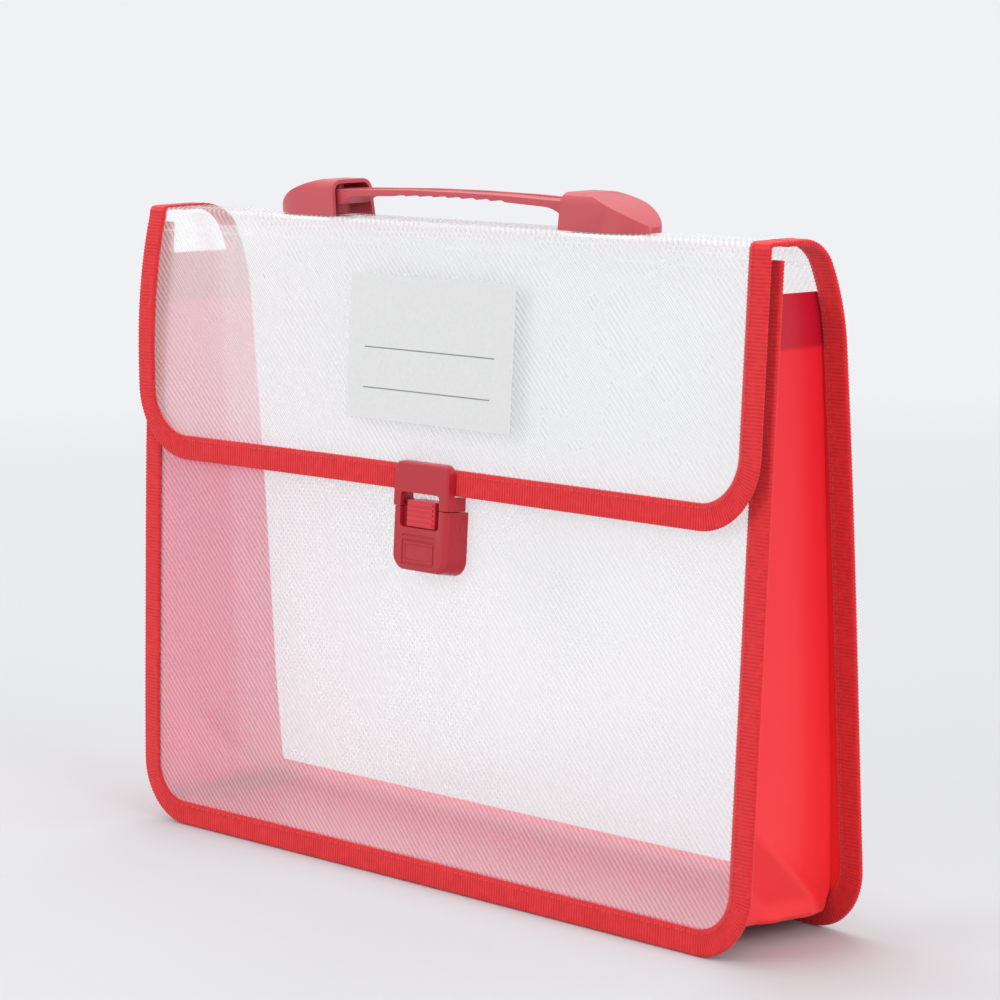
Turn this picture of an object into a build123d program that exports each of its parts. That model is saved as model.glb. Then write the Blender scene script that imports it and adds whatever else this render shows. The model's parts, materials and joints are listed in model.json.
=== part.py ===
from build123d import *
import math
import os

# An expanding document case for A4 papers. Two frosted polypropylene sheets and a red cloth gusset
# make a wedge-shaped pocket. The back sheet runs on over the top as a strip that carries the handle,
# and then down the front as a flap, which a plastic clasp holds. Red tape binds every cut edge.
# Millimetres. +X is the width, the front faces -Y, +Z is up, and the case stands on Z = 0.

os.makedirs("parts", exist_ok=True)

# Case
case_width = 330.0
case_depth = 59.9
panel_corner = 24.0
flap_corner = 27.0

# Materials
sheet = 0.6
tape = 0.6
cloth = 0.4
binding_width = 9.5
cloth_play = 0.1

# Back sheet, measured along it from the floor: a straight run, a soft bend up to the back crease,
# the shoulder and the flat top strip that ends at the front crease
back_lean = 2.27
back_run = 205.0
back_bend_radius = 80.0
back_bend_turn = 20.0
shoulder_radius = 14.3
top_run = 16.3
sheet_crease_gap = 0.45
tape_crease_gap = 1.3

# Front sheet and flap
flap_length = 96.8
flap_standoff = 5.8
front_top_gap = 5.0
score_drop = 8.0
score_width = 0.8
score_depth = 0.15

# Gusset
gusset_step = 0.2
gusset_top_drop = 17.0
hem_height = 19.5

# Label
label_width = 88.5
label_height = 53.0
label_thickness = 0.2
label_x = -1.0
label_rise = 23.8

# Clasp, as wide at its front as given, and wider towards the sheet by its draft
clasp_x = 1.2
clasp_width = 29.5
clasp_depth = 9.8
clasp_draft = 6.0
clasp_wall = 1.8
clasp_front_wall = 2.0
seam_drop = 5.6
seam_gap = 0.3
body_height = 22.8
hook_rise = 10.7
hook_back = 1.5
edge_clearance = 0.4
clasp_top_corner = 3.5
clasp_bottom_corner = 5.5
hook_chamfer = 0.6
body_chamfer = 1.5
window_width = 21.0
window_above = 5.4
window_below = 7.3
window_corner = 1.5

# Framed panel and the rule above it, sunk into the clasp body's front
frame_width = 17.6
frame_height = 9.2
frame_drop = 16.1
frame_line = 0.8
frame_step = 1.8
frame_depth = 0.4

# Release button, which slides up in the window
button_width = 15.2
button_top = 2.6
button_gap = 0.4
button_back = 1.0
button_recess = 0.6
button_ribs = 5
rib_pitch = 1.8
rib_height = 0.4
rib_margin = 0.8
skirt = 1.6
cavity_play = 0.4
lug_gap = 0.3
lug_bottom = 0.9
lug_height = 1.6
lug_back = 3.6
lug_depth = 1.8
tooth_reach = 0.9
tooth_depth = 1.7
stem_width = 4.0
stem_length = 10.2
stem_back = 2.5
stem_depth = 3.0
foot_width = 11.6
foot_height = 1.4
web_height = 1.6
spring_wire = 0.5
spring_width = 3.0
spring_turns = 3
spring_gap = 0.05

# Fasteners of the clasp
body_pin_inset = 3.8
body_pin_drop = 14.1
hook_pin_inset = 5.0
hook_bite_share = 0.6
plate_inset = 2.0
plate_corner = 2.0
body_plate = 1.5
hook_plate = 1.4
hook_plate_inset = 1.0
screw_diameter = 2.4
screw_play = 0.1
head_diameter = 4.4
head_height = 0.8
screw_bite = 5.0

# Handle. Each cap is a boat form with its mouth towards the middle.
handle_length = 199.0
handle_setback = 11.8
cap_length = 39.0
cap_depth = 20.4
cap_height = 13.2
cap_wall = 1.4
cap_draft = 3.0
cap_round = 4.2
cap_mouth_set = 1.5
cap_flat = 11.0
cap_fall = 0.2
cap_toe = 2.0
cap_nose = 19.0
cap_tip = 6.0
strap_width = 14.4
strap_thickness = 2.2
strap_play = 2.0
strap_rise = 1.2
strap_edge = 2.0
strap_channel = 0.5
strap_flare = 11.0
strap_drop = 3.4
strap_tab_wall = 1.5
strap_seat_gap = 0.1
scallop_count = 8
scallop_pitch = 7.6
scallop_radius = 9.0
scallop_depth = 0.7
post_in = 9.0
post_diameter = 4.0
collar_diameter = 8.0
slot_length = 7.0
slot_play = 0.3
nose_post_in = 24.5
nose_post_diameter = 6.0
plate_thickness = 1.2
plate_margin = 3.0

half_width = case_width / 2
half_sheet = sheet / 2
reach = 4 * case_width
bound = half_sheet + tape
below = 3.0


def along(heading):
    """Direction of a sheet in the YZ plane. The heading turns from +Z towards the front."""
    angle = math.radians(heading)
    return Vector(0, -math.sin(angle), math.cos(angle))


def outward(heading):
    """Direction square to a sheet, away from the inside of the case."""
    angle = math.radians(heading)
    return Vector(0, math.cos(angle), math.sin(angle))


def bend_move(radius, turn):
    """A round bend as its length along the sheet and its turn."""
    return radius * math.radians(turn), turn


def step(point, heading, move):
    """The point and heading at the end of a straight run or a round bend."""
    length, turn = move
    if not turn:
        return point + along(heading) * length, heading
    radius = length / math.radians(turn)
    centre = point - outward(heading) * radius
    return centre + outward(heading + turn) * radius, heading + turn


def walk(point, heading, moves):
    """The point and heading at the end of all moves."""
    for move in moves:
        point, heading = step(point, heading, move)
    return point, heading


def trimmed(point, heading, moves, first, last):
    """The same middle line, made shorter by first at its start and by last at its end."""
    moves = list(moves)
    length, turn = moves[0]
    cut = (first, turn * first / length)
    point, heading = step(point, heading, cut)
    moves[0] = (length - first, turn - cut[1])
    length, turn = moves[-1]
    moves[-1] = (length - last, turn * (1 - last / length))
    return point, heading, moves


def side_edges(point, heading, moves, offset):
    """Lines and arcs that follow a middle line at an offset to its outside."""
    edges = []
    for move in moves:
        end, new_heading = step(point, heading, move)
        first = point + outward(heading) * offset
        last = end + outward(new_heading) * offset
        length, turn = move
        if turn:
            radius = length / math.radians(turn)
            centre = point - outward(heading) * radius
            middle = centre + outward(heading + turn / 2) * (radius + offset)
            edges.append(ThreePointArc(first, middle, last))
        else:
            edges.append(Line(first, last))
        point, heading = end, new_heading
    return edges


def ribbon(line, low, high, width):
    """A bent sheet: a middle line given a thickness from low to high and a width along X."""
    point, heading, moves = line
    inner = side_edges(point, heading, moves, low)
    outer = side_edges(point, heading, moves, high)
    ends = [Line(inner[0] @ 0, outer[0] @ 0), Line(inner[-1] @ 1, outer[-1] @ 1)]
    face = Face(Wire(inner + outer + ends))
    return extrude(face, amount=width / 2, dir=(1, 0, 0), both=True)


def back_block(inset):
    """A deep block with the back panel's outline, round at its two bottom corners."""
    tall = 2 * (back_run + back_bend_radius)
    outline = RectangleRounded(case_width - 2 * inset, tall, panel_corner - inset)
    place = Plane.XZ * Pos(0, inset + tall / 2)
    return extrude(place * outline, amount=reach, both=True)


def floor_block():
    """Everything below the floor, and cut from what stands on it."""
    return Pos(0, 0, -reach / 2) * Box(reach, reach, reach)


# Middle line of the sheet that makes the back, the top and the flap
bend = bend_move(back_bend_radius, back_bend_turn)
crease_heading = back_lean + back_bend_turn
shoulder = bend_move(shoulder_radius, 90 - crease_heading)
back_start = Vector(0, case_depth / 2 - bound, 0)
back_moves = [(back_run, 0), bend]
back_crease, _ = walk(back_start, back_lean, back_moves)
strip_moves = [shoulder, (top_run, 0)]
front_crease, _ = walk(back_crease, crease_heading, strip_moves)

# The front sheet leans so that the flap hangs from the front crease square to it at its standoff
front_foot = Vector(0, -case_depth / 2 + bound, 0)
rise = front_crease - front_foot
front_lean = math.degrees(math.atan2(rise.Y, rise.Z) + math.asin(flap_standoff / rise.length))
lean = math.radians(front_lean)
front_normal = Vector(0, -math.cos(lean), math.sin(lean))
front_up = Vector(0, math.sin(lean), math.cos(lean))
front_plane = Plane(origin=front_foot + front_normal * half_sheet, x_dir=(1, 0, 0), z_dir=front_normal)

# Heights along the front sheet, and distances in front of its outer face
crease_v = (front_crease - front_plane.origin).dot(front_up)
front_top = crease_v - front_top_gap
flap_bottom = crease_v - flap_length
flap_middle = flap_standoff - half_sheet
flap_inner = flap_middle - half_sheet
flap_outer = flap_middle + half_sheet
flap_front = flap_outer + tape
flap_back = flap_inner - tape
seam = flap_bottom - seam_drop
cloth_room = cloth + 2 * cloth_play
front_back = -sheet - cloth_room - tape
gusset_inset = binding_width + gusset_step
handle_y = front_crease.Y + handle_setback
gusset_top = front_crease.Z - gusset_top_drop


def on_front(shape):
    """Places a shape that is drawn as X, height along the front sheet and distance before it."""
    return front_plane.location * shape


def block(x, v, w):
    """A box given by its low and high values along X, along the sheet and square to it."""
    size = Box(x[1] - x[0], v[1] - v[0], w[1] - w[0])
    return Pos((x[0] + x[1]) / 2, (v[0] + v[1]) / 2, (w[0] + w[1]) / 2) * size


def plate(inset, corner, v, w):
    """A flat sheet with round bottom corners, as drawn on the front sheet. The inset spares its top."""
    height = v[1] - v[0] - inset
    face = Pos(0, v[0] + inset + height / 2) * Rectangle(case_width - 2 * inset, height)
    corners = face.vertices().sort_by(Axis.Y)[:2]
    face = fillet(corners, radius=corner - inset)
    return Pos(0, 0, w[0]) * extrude(face, amount=w[1] - w[0])


def pegs(places, diameter, w):
    """Round pins square to the front sheet, or the holes for them."""
    tall = w[1] - w[0]
    solids = [Pos(x, v, w[0] + tall / 2) * Cylinder(diameter / 2, tall) for x, v in places]
    return Compound(children=solids)


def fused(shapes):
    """Several touching shapes as one."""
    first, *others = shapes
    for other in others:
        first = first + other
    return first


def both_sides(shape):
    """A shape on the right with its mirror image on the left of the clasp."""
    return shape + mirror(shape, Plane.YZ)


body_pins = [(side * (clasp_width / 2 - body_pin_inset), seam - body_pin_drop) for side in (-1, 1)]
hook_pin_x = clasp_width / 2 - hook_pin_inset
hook_pins = [(side * hook_pin_x, flap_bottom + binding_width / 2) for side in (-1, 1)]


def at_clasp(shape):
    """Places a part of the clasp that is drawn about its own middle."""
    return on_front(Pos(clasp_x, 0, 0) * shape)


# Back of the case


def back_line(first, last):
    return trimmed(back_start, back_lean, back_moves, first, last)


def back_panel():
    """Frosted sheet with a soft bend towards the crease at its top."""
    return ribbon(back_line(0, sheet_crease_gap), -half_sheet, half_sheet, case_width) & back_block(tape)


def back_flange():
    """The gusset's turned-out edge, which lies on the inside of the back sheet."""
    layer = ribbon(back_line(0, tape_crease_gap), -half_sheet - cloth, -half_sheet, case_width)
    band = back_block(tape + cloth_play) - back_block(gusset_inset + cloth)
    return (layer & band) - under_top(gusset_top)


def under_top(top):
    """Everything above a height."""
    return Pos(0, 0, top + reach / 2) * Box(reach, reach, reach)


def back_binding(panel, flange):
    """Tape folded over the back sheet's edge and the gusset's flange."""
    wrap = ribbon(back_line(-below, tape_crease_gap), -bound - cloth, bound, case_width)
    band = back_block(0) - back_block(binding_width)
    return (wrap & band) - panel - flange - floor_block()


def front_flange():
    """The gusset's turned-out edge behind the front sheet."""
    w = (-sheet - cloth_play - cloth, -sheet - cloth_play)
    top = front_top - tape
    outer = plate(tape + 2 * cloth_play, panel_corner, (0, top), w)
    inner = plate(gusset_inset + cloth, panel_corner, (0, top), w)
    return on_front(outer - inner) - under_top(gusset_top)


def gusset(flange):
    """Cloth side walls and bottom in one strip, turned out along both sheets, hemmed at its two ends."""
    wall = back_block(gusset_inset) - back_block(gusset_inset + cloth)
    hem = back_block(gusset_inset + cloth) - back_block(gusset_inset + 3 * cloth)
    hem_cut = Pos(0, 0, gusset_top - hem_height - reach / 2) * Box(reach, reach, reach)
    inside = ribbon(back_line(-below, tape_crease_gap), -case_depth - below, -half_sheet, case_width)
    before = on_front(block((-reach, reach), (-reach, reach), (-sheet - cloth_play, reach)))
    pocket = inside - before - under_top(gusset_top)
    walls = (wall & pocket) + ((hem - hem_cut) & pocket)
    return walls + flange + front_flange()


# Front sheet


def front_panel():
    """Frosted sheet, pierced for the clasp's screws."""
    solid = plate(tape, panel_corner, (0, front_top), (-sheet, 0))
    holes = Pos(clasp_x, 0, 0) * pegs(body_pins, screw_diameter + 2 * screw_play, (-sheet, 0))
    return on_front(solid - holes)


def front_binding():
    """Tape folded over the front sheet's sides and bottom, with room for the gusset's flange."""
    w = (front_back, tape)
    band = plate(0, panel_corner, (0, front_top), w) - plate(binding_width, panel_corner, (0, front_top), w)
    channel_top = (0, front_top - tape)
    room = plate(tape, panel_corner, channel_top, (-sheet - cloth_room, -sheet))
    core = plate(tape, panel_corner, (0, front_top), (-sheet, 0))
    return on_front(band - core - room) - floor_block()


# Top strip and flap


def strip_line(gap):
    return trimmed(back_crease, crease_heading, strip_moves, gap, gap)


def post_places(side):
    """Where the two posts of a handle cap stand."""
    mouth = handle_length / 2 - cap_length
    return [(side * (mouth + post_in), handle_y), (side * (mouth + nose_post_in), handle_y)]


def screw_holes(diameter, low, high):
    """Upright holes on all four posts of the handle."""
    tall = high - low
    places = post_places(-1) + post_places(1)
    solids = [Pos(x, y, low + tall / 2) * Cylinder(diameter / 2, tall) for x, y in places]
    return Compound(children=solids)


def top_strip():
    """The part of the sheet that runs over the top, from the back crease to the front crease."""
    width = case_width - 2 * tape
    solid = ribbon(strip_line(sheet_crease_gap), -half_sheet, half_sheet, width)
    level = front_crease.Z
    return solid - screw_holes(screw_diameter + 2 * screw_play, level - tape, level + tape)


def strip_binding(side):
    """Tape folded over one end of the strip."""
    wrap = ribbon(strip_line(tape_crease_gap), -bound, bound, case_width)
    inner_x = half_width - binding_width
    end = Pos(side * (inner_x + half_width) / 2, 0, 0) * Box(binding_width, reach, reach)
    core = ribbon(strip_line(0), -half_sheet, half_sheet, case_width - 2 * tape)
    return (wrap & end) - core


def flap_sheet():
    """The hanging flap, with round bottom corners and a score line near its top."""
    solid = plate(tape, flap_corner, (flap_bottom, crease_v - sheet_crease_gap), (flap_inner, flap_outer))
    line_v = crease_v - score_drop
    score = block(
        (-half_width, half_width),
        (line_v - score_width, line_v),
        (flap_outer - score_depth, flap_outer),
    )
    holes = Pos(clasp_x, 0, 0) * pegs(hook_pins, screw_diameter + 2 * screw_play, (flap_back, flap_front))
    return on_front(solid - score - holes)


def flap_binding():
    """Tape folded over the flap's sides and bottom, pierced for the hook's rivets."""
    v = (flap_bottom, crease_v - tape_crease_gap)
    w = (flap_back, flap_front)
    band = plate(0, flap_corner, v, w) - plate(binding_width, flap_corner, v, w)
    core = plate(tape, flap_corner, v, (flap_inner, flap_outer))
    holes = Pos(clasp_x, 0, 0) * pegs(hook_pins, screw_diameter + 2 * screw_play, w)
    return on_front(band - core - holes)


def label():
    """Matt name label on the flap."""
    low = flap_bottom + label_rise
    x = (label_x - label_width / 2, label_x + label_width / 2)
    return on_front(block(x, (low, low + label_height), (flap_outer, flap_outer + label_thickness)))


# Clasp


def front_edges(solid):
    """The edges along the sheet that bound a clasp part's front face."""
    edges = solid.edges().filter_by(Axis.Y)
    return edges.group_by(Axis.Z)[-1]


def upright_block(x, v, w, corner, top):
    """A block whose two top or two bottom corners are round, seen from the front."""
    solid = block(x, v, w)
    edges = solid.edges().filter_by(Axis.Z).group_by(Axis.Y)
    return fillet(edges[-1 if top else 0], radius=corner)


def clasp_blank(v, corner, top, bevel):
    """The outer form of a clasp part, drafted so that it widens towards the sheet."""
    low, high = v
    spread = clasp_depth * math.tan(math.radians(clasp_draft))
    seam_side = (-clasp_depth, 0) if top else (0, clasp_depth)
    drawn = (low + seam_side[0], high + seam_side[1])
    width = clasp_width + 2 * spread
    outline = Pos(0, (drawn[0] + drawn[1]) / 2) * Rectangle(width, drawn[1] - drawn[0] + 2 * spread)
    corners = outline.vertices().group_by(Axis.Y)[-1 if top else 0]
    outline = fillet(corners, radius=corner + spread)
    solid = extrude(outline, amount=clasp_depth, taper=clasp_draft)
    face = solid.faces().sort_by(Axis.Z)[-1]
    solid = chamfer(face.edges(), length=bevel)
    kept = (low, high + clasp_depth) if top else (low - clasp_depth, high)
    return solid & block((-width, width), kept, (0, clasp_depth))


def window(v):
    """The window's outline, round at its corners, as a cut through the clasp's front."""
    low, high = v
    height = high - low
    face = Pos(0, (low + high) / 2) * RectangleRounded(window_width, height, window_corner)
    return extrude(face, amount=clasp_depth)


def clasp_hook():
    """Upper clasp part: a plate on the flap's tape, and below the flap a hollow shell with a window."""
    half = clasp_width / 2
    low = seam + seam_gap / 2
    wide = (-clasp_width, clasp_width)
    solid = clasp_blank((low, flap_bottom + hook_rise), clasp_top_corner, True, hook_chamfer)
    solid -= block(wide, (low, front_top), (0, hook_back))
    over_flap = block(wide, (flap_bottom - edge_clearance, front_top), (0, flap_front))
    ceiling = seam + window_above
    inner = half - clasp_wall
    hollow = block((-inner, inner), (seam - seam_drop, ceiling), (0, clasp_depth - clasp_front_wall))
    solid = solid - over_flap - hollow - window((seam - window_below, ceiling))
    solid -= pegs(hook_pins, screw_diameter + 2 * screw_play, (flap_front, flap_front + hook_bite()))
    x = (inner - tooth_reach, inner)
    v = (seam + lug_bottom, seam + lug_bottom + lug_height)
    tooth = block(x, v, (hook_back, hook_back + tooth_depth))
    return at_clasp(solid + both_sides(tooth))


def hook_bite():
    """How far a rivet reaches into the hook's plate."""
    return (clasp_depth - flap_front) * hook_bite_share


def clasp_body():
    """Lower clasp part, moulded as a shell that is open at its back and holds the button and spring."""
    half = clasp_width / 2
    top = seam - seam_gap / 2
    bottom = seam - body_height
    solid = clasp_blank((bottom, top), clasp_bottom_corner, False, body_chamfer)
    shelf = clasp_depth - clasp_front_wall
    room = button_width / 2 + cavity_play
    cavity = block((-room, room), (web_top(), seam), (0, shelf))
    slot_half = stem_width / 2 + cavity_play
    slot = block((-slot_half, slot_half), (web_top() - web_height, web_top()), (0, shelf))
    bay_half = foot_width / 2 + cavity_play
    bay = block((-bay_half, bay_half), (foot_bottom() - cavity_play, web_top() - web_height), (0, shelf))
    solid = solid - cavity - slot - bay
    solid -= Pos(0, 0, shelf - cavity_play) * window((seam - window_below, seam + window_above))
    solid -= pegs(body_pins, screw_diameter + 2 * screw_play, (0, screw_bite + cavity_play))
    solid -= nameplate_grooves()
    rim_x = (room + cavity_play, half - clasp_wall - edge_clearance)
    rim = block(rim_x, (top - tape, seam + lug_bottom - edge_clearance), (hook_back, shelf - edge_clearance))
    return at_clasp(solid + both_sides(rim))


def web_top():
    """Upper side of the web that the spring presses against, just clear of the button's skirt."""
    return seam - window_below + button_gap - skirt - cavity_play


def foot_bottom():
    return seam - window_below + button_gap - skirt - stem_length - foot_height


def framed(width, height, face):
    """A sunk area of the framed panel, about its middle."""
    middle = seam - frame_drop
    return block((-width / 2, width / 2), (middle - height / 2, middle + height / 2), face)


def nameplate_grooves():
    """Plain framed panel and a line above it, sunk into the lower part's front."""
    face = (clasp_depth - frame_depth, clasp_depth)
    outer = framed(frame_width, frame_height, face)
    island = framed(frame_width - 2 * frame_line, frame_height - 2 * frame_line, face)
    pocket = framed(frame_width - 2 * frame_step, frame_height - 2 * frame_step, face)
    rule = seam - frame_drop + frame_height / 2 + frame_line
    groove = block((-frame_width / 2, frame_width / 2), (rule, rule + frame_line), face)
    return (outer - island) + pocket + groove


def release_button():
    """Ribbed thumb button with side lugs, a skirt behind the window's edge, a stem and a spring foot."""
    half = button_width / 2
    low = seam - window_below + button_gap
    face = clasp_depth - button_recess
    pad = block((-half, half), (low, seam + button_top), (button_back, face))
    pad = fillet(front_edges(pad), radius=window_corner / 2)
    middle = (low + seam + button_top) / 2
    ribs = []
    for index in range(button_ribs):
        v = middle + (index - (button_ribs - 1) / 2) * rib_pitch
        rib_x = half - rib_margin
        rib_v = (v - rib_pitch / 4, v + rib_pitch / 4)
        ribs.append(block((-rib_x, rib_x), rib_v, (face - rib_height, face + rib_height)))
    skirt_face = clasp_depth - clasp_front_wall - 2 * cavity_play
    lip = block((-half, half), (low - skirt, low), (button_back, skirt_face))
    stem_w = (stem_back, stem_back + stem_depth)
    stem = block((-stem_width / 2, stem_width / 2), (low - skirt - stem_length, low - skirt), stem_w)
    foot = block((-foot_width / 2, foot_width / 2), (foot_bottom(), foot_bottom() + foot_height), stem_w)
    lug_v = (seam + lug_bottom, seam + lug_bottom + lug_height)
    lug_tip = clasp_width / 2 - clasp_wall - tooth_reach - lug_gap
    lug = block((half, lug_tip), lug_v, (lug_back, lug_back + lug_depth))
    return at_clasp(fused([pad, lip, stem, foot, both_sides(lug)] + ribs))


def clasp_spring():
    """Two moulded zigzag springs, one on each side of the stem, between the foot and the web."""
    low = foot_bottom() + foot_height + spring_gap + spring_wire / 2
    high = web_top() - web_height - spring_gap - spring_wire / 2
    near = stem_width / 2 + cavity_play
    far = near + spring_width
    half = spring_wire / 2
    rows = 2 * spring_turns
    rise_each = (high - low) / rows
    bars = []
    for index in range(rows):
        first, last = (near, far) if index % 2 == 0 else (far, near)
        v = low + index * rise_each
        after = v + rise_each
        corners = [(first, v - half), (last, after - half), (last, after + half), (first, v + half)]
        bars.append(make_face(Polyline(corners, close=True)))
    wave = fused(bars)
    right = Pos(0, 0, stem_back + spring_wire) * extrude(wave, amount=stem_depth - 2 * spring_wire)
    return at_clasp(Compound(children=[right, mirror(right, Plane.YZ)]))


def clasp_plate():
    """Inner plate that takes the clasp body's screws behind the front sheet."""
    half = clasp_width / 2 - plate_inset
    v = (seam - body_height + plate_inset, seam - 2 * plate_inset)
    w = (-sheet - body_plate, -sheet)
    solid = upright_block((-half, half), v, w, plate_corner, False)
    return at_clasp(solid - pegs(body_pins, screw_diameter + 2 * screw_play, w))


def clasp_screws():
    """Two screws from inside the case into the clasp body."""
    back = -sheet - body_plate
    shanks = pegs(body_pins, screw_diameter, (back, screw_bite))
    heads = pegs(body_pins, head_diameter, (back - head_height, back))
    return at_clasp(joined_pairs(shanks, heads))


def joined_pairs(shanks, heads):
    """Screws as separate solids, each a shank fused to its head."""
    pairs = zip(shanks.solids(), heads.solids())
    return Compound(children=[(shank + head).solid() for shank, head in pairs])


def hook_plate_inside():
    """Inner plate that takes the hook's rivets behind the flap."""
    half = clasp_width / 2 - plate_inset
    w = (flap_back - hook_plate, flap_back)
    v = (flap_bottom + hook_plate_inset, flap_bottom + binding_width - hook_plate_inset)
    solid = block((-half, half), v, w)
    return at_clasp(solid - pegs(hook_pins, screw_diameter + 2 * screw_play, w))


def hook_rivets():
    """Two rivets from behind the flap into the hook."""
    back = flap_back - hook_plate
    shanks = pegs(hook_pins, screw_diameter, (back, flap_front + hook_bite() - screw_play))
    heads = pegs(hook_pins, head_diameter, (back - head_height, back))
    return at_clasp(joined_pairs(shanks, heads))


# Handle


cap_base = front_crease.Z + half_sheet
mouth_x = handle_length / 2 - cap_length
strap_top = cap_base + cap_height - cap_wall - strap_play
strap_bottom = strap_top - strap_thickness
tab_bottom = strap_bottom - strap_drop


def boat_plan(inset, start):
    """A cap's outline from above: straight sides, then two arcs that run into a round tip."""
    half = cap_depth / 2 - inset
    end = cap_length - inset
    tip = cap_tip - inset
    nose_x = cap_length - cap_nose
    run = end - tip - nose_x
    nose_radius = (half**2 + run**2 - tip**2) / (2 * (half - tip))
    share = tip / (nose_radius - tip)
    touch_x = end - tip + run * share
    touch_y = (nose_radius - half) * share
    return [
        Line((start, half), (start, -half)),
        Line((start, -half), (nose_x, -half)),
        TangentArc((nose_x, -half), (touch_x, -touch_y), tangent=(1, 0)),
        ThreePointArc((touch_x, -touch_y), (end, 0), (touch_x, touch_y)),
        TangentArc((nose_x, half), (touch_x, touch_y), tangent=(1, 0)),
        Line((nose_x, half), (start, half)),
    ]


def boat(inset, start):
    """A cap's form about its mouth, or its hollow. The sides lean in, the top's long edges are round,
    and a convex slope cuts the top down to the toe."""
    half = cap_depth / 2 - inset
    end = cap_length - inset
    top = cap_height - inset
    toe = cap_toe - inset
    hull = Pos(0, 0, -below) * extrude(make_face(boat_plan(inset, start)), amount=top + below)
    lean_in = math.tan(math.radians(cap_draft))
    foot = half + below * lean_in
    shoulder_y = half - top * lean_in
    section = make_face(
        Polyline((-foot, -below), (foot, -below), (shoulder_y, top), (-shoulder_y, top), close=True)
    )
    section = fillet(section.vertices().sort_by(Axis.Y)[-2:], radius=cap_round - inset)
    side = make_face([
        Line((start, -below), (start + cap_mouth_set, top)),
        Line((start + cap_mouth_set, top), (cap_flat, top)),
        TangentArc((cap_flat, top), (end, toe), tangent=(1, -cap_fall)),
        Line((end, toe), (end, -below)),
        Line((end, -below), (start, -below)),
    ])
    hull = hull & extrude(Plane.YZ * section, amount=2 * cap_length, both=True)
    return hull & extrude(Plane.XZ * side, amount=cap_depth, both=True)


def strip_body():
    """The strip as a thick block that shapes a cap's foot to the strip's surface."""
    return ribbon(strip_line(sheet_crease_gap), -2 * below, half_sheet, case_width)


def post(x, diameter, top):
    """An upright post inside a cap."""
    return Pos(x, 0, (top - below) / 2) * Cylinder(diameter / 2, top + below)


def handle_cap(side):
    """Hollow moulded cap with a strap post on a collar, a nose post and an open mouth."""
    solid = boat(0, 0) - boat(cap_wall, -below)
    collar_top = tab_bottom - strap_seat_gap - cap_base
    roof = cap_height - cap_wall / 2
    posts = post(post_in, post_diameter, roof) + post(post_in, collar_diameter, collar_top)
    nose_post = post(nose_post_in, nose_post_diameter, cap_height) & boat(cap_wall / 2, -below)
    solid = solid + posts + nose_post
    solid = Pos(mouth_x, handle_y, cap_base) * solid
    if side < 0:
        solid = mirror(solid, Plane.YZ)
    bores = screw_holes(screw_diameter + 2 * screw_play, cap_base - below, cap_base + screw_bite + screw_play)
    return solid - strip_body() - bores


def handle_plate(side):
    """Plate under the strip that spreads the load of one cap."""
    high = front_crease.Z - half_sheet
    length = cap_length - 2 * plate_margin
    depth = top_run - plate_margin
    middle_y = front_crease.Y + top_run / 2
    place = Pos(side * (mouth_x + cap_length / 2), middle_y, high - plate_thickness / 2)
    solid = place * Box(length, depth, plate_thickness)
    return solid - screw_holes(screw_diameter + 2 * screw_play, high - plate_thickness, high)


def handle_screws(side):
    """Two screws from under the strip into one cap."""
    high = front_crease.Z - half_sheet - plate_thickness
    screws = []
    for x, y in post_places(side):
        top = cap_base + screw_bite
        shank = Pos(x, y, (high + top) / 2) * Cylinder(screw_diameter / 2, top - high)
        head = Pos(x, y, high - head_height / 2) * Cylinder(head_diameter / 2, head_height)
        screws.append((shank + head).solid())
    return Compound(children=screws)


def strap_outline():
    """The strap's side view: bowed between the caps, and thicker where it enters them."""
    end = mouth_x + post_in + slot_length / 2 + strap_tab_wall
    inner = mouth_x - strap_flare
    edges = [ThreePointArc((-mouth_x, strap_top), (0, strap_top + strap_rise), (mouth_x, strap_top))]
    edges.append(ThreePointArc((-inner, strap_bottom), (0, strap_bottom + strap_rise), (inner, strap_bottom)))
    for side in (-1, 1):
        root, low_root = (side * mouth_x, strap_top), (side * mouth_x, tab_bottom)
        tip, low_tip = (side * end, strap_top), (side * end, tab_bottom)
        edges += [Line(root, tip), Line(tip, low_tip), Line(low_tip, low_root)]
        edges.append(TangentArc((side * inner, strap_bottom), low_root, tangent=(side, 0)))
    return edges


def handle_strap():
    """Bowed grip with raised long edges, a scalloped underside and a slotted tab in each cap."""
    solid = extrude(Plane.XZ * make_face(strap_outline()), amount=strap_width / 2, both=True)
    inner = mouth_x - strap_flare
    for index in range(scallop_count):
        x = (index - (scallop_count - 1) / 2) * scallop_pitch
        sag = strap_rise * (1 - (x / inner) ** 2)
        z = strap_bottom + sag + scallop_depth - scallop_radius
        solid -= Pos(x, 0, z) * Rot(90, 0, 0) * Cylinder(scallop_radius, strap_width)
    floor = strap_top - strap_channel
    lid = [
        ThreePointArc((-mouth_x, floor), (0, floor + strap_rise), (mouth_x, floor)),
        Line((mouth_x, floor), (mouth_x, floor + below)),
        Line((mouth_x, floor + below), (-mouth_x, floor + below)),
        Line((-mouth_x, floor + below), (-mouth_x, floor)),
    ]
    solid -= extrude(Plane.XZ * make_face(lid), amount=strap_width / 2 - strap_edge, both=True)
    slot_wide = post_diameter + 2 * slot_play
    slot_x = mouth_x + post_in
    slot = Pos(slot_x, 0, (strap_top + tab_bottom) / 2) * Box(slot_length, slot_wide, 4 * strap_thickness)
    solid = solid - slot - mirror(slot, Plane.YZ)
    return Pos(0, handle_y, 0) * solid


def save(name, shape):
    """Writes one piece to its own file."""
    solids = shape.solids()
    whole = solids[0] if len(solids) == 1 else Compound(children=list(solids))
    export_step(whole, f"parts/{name}.step")


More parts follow.
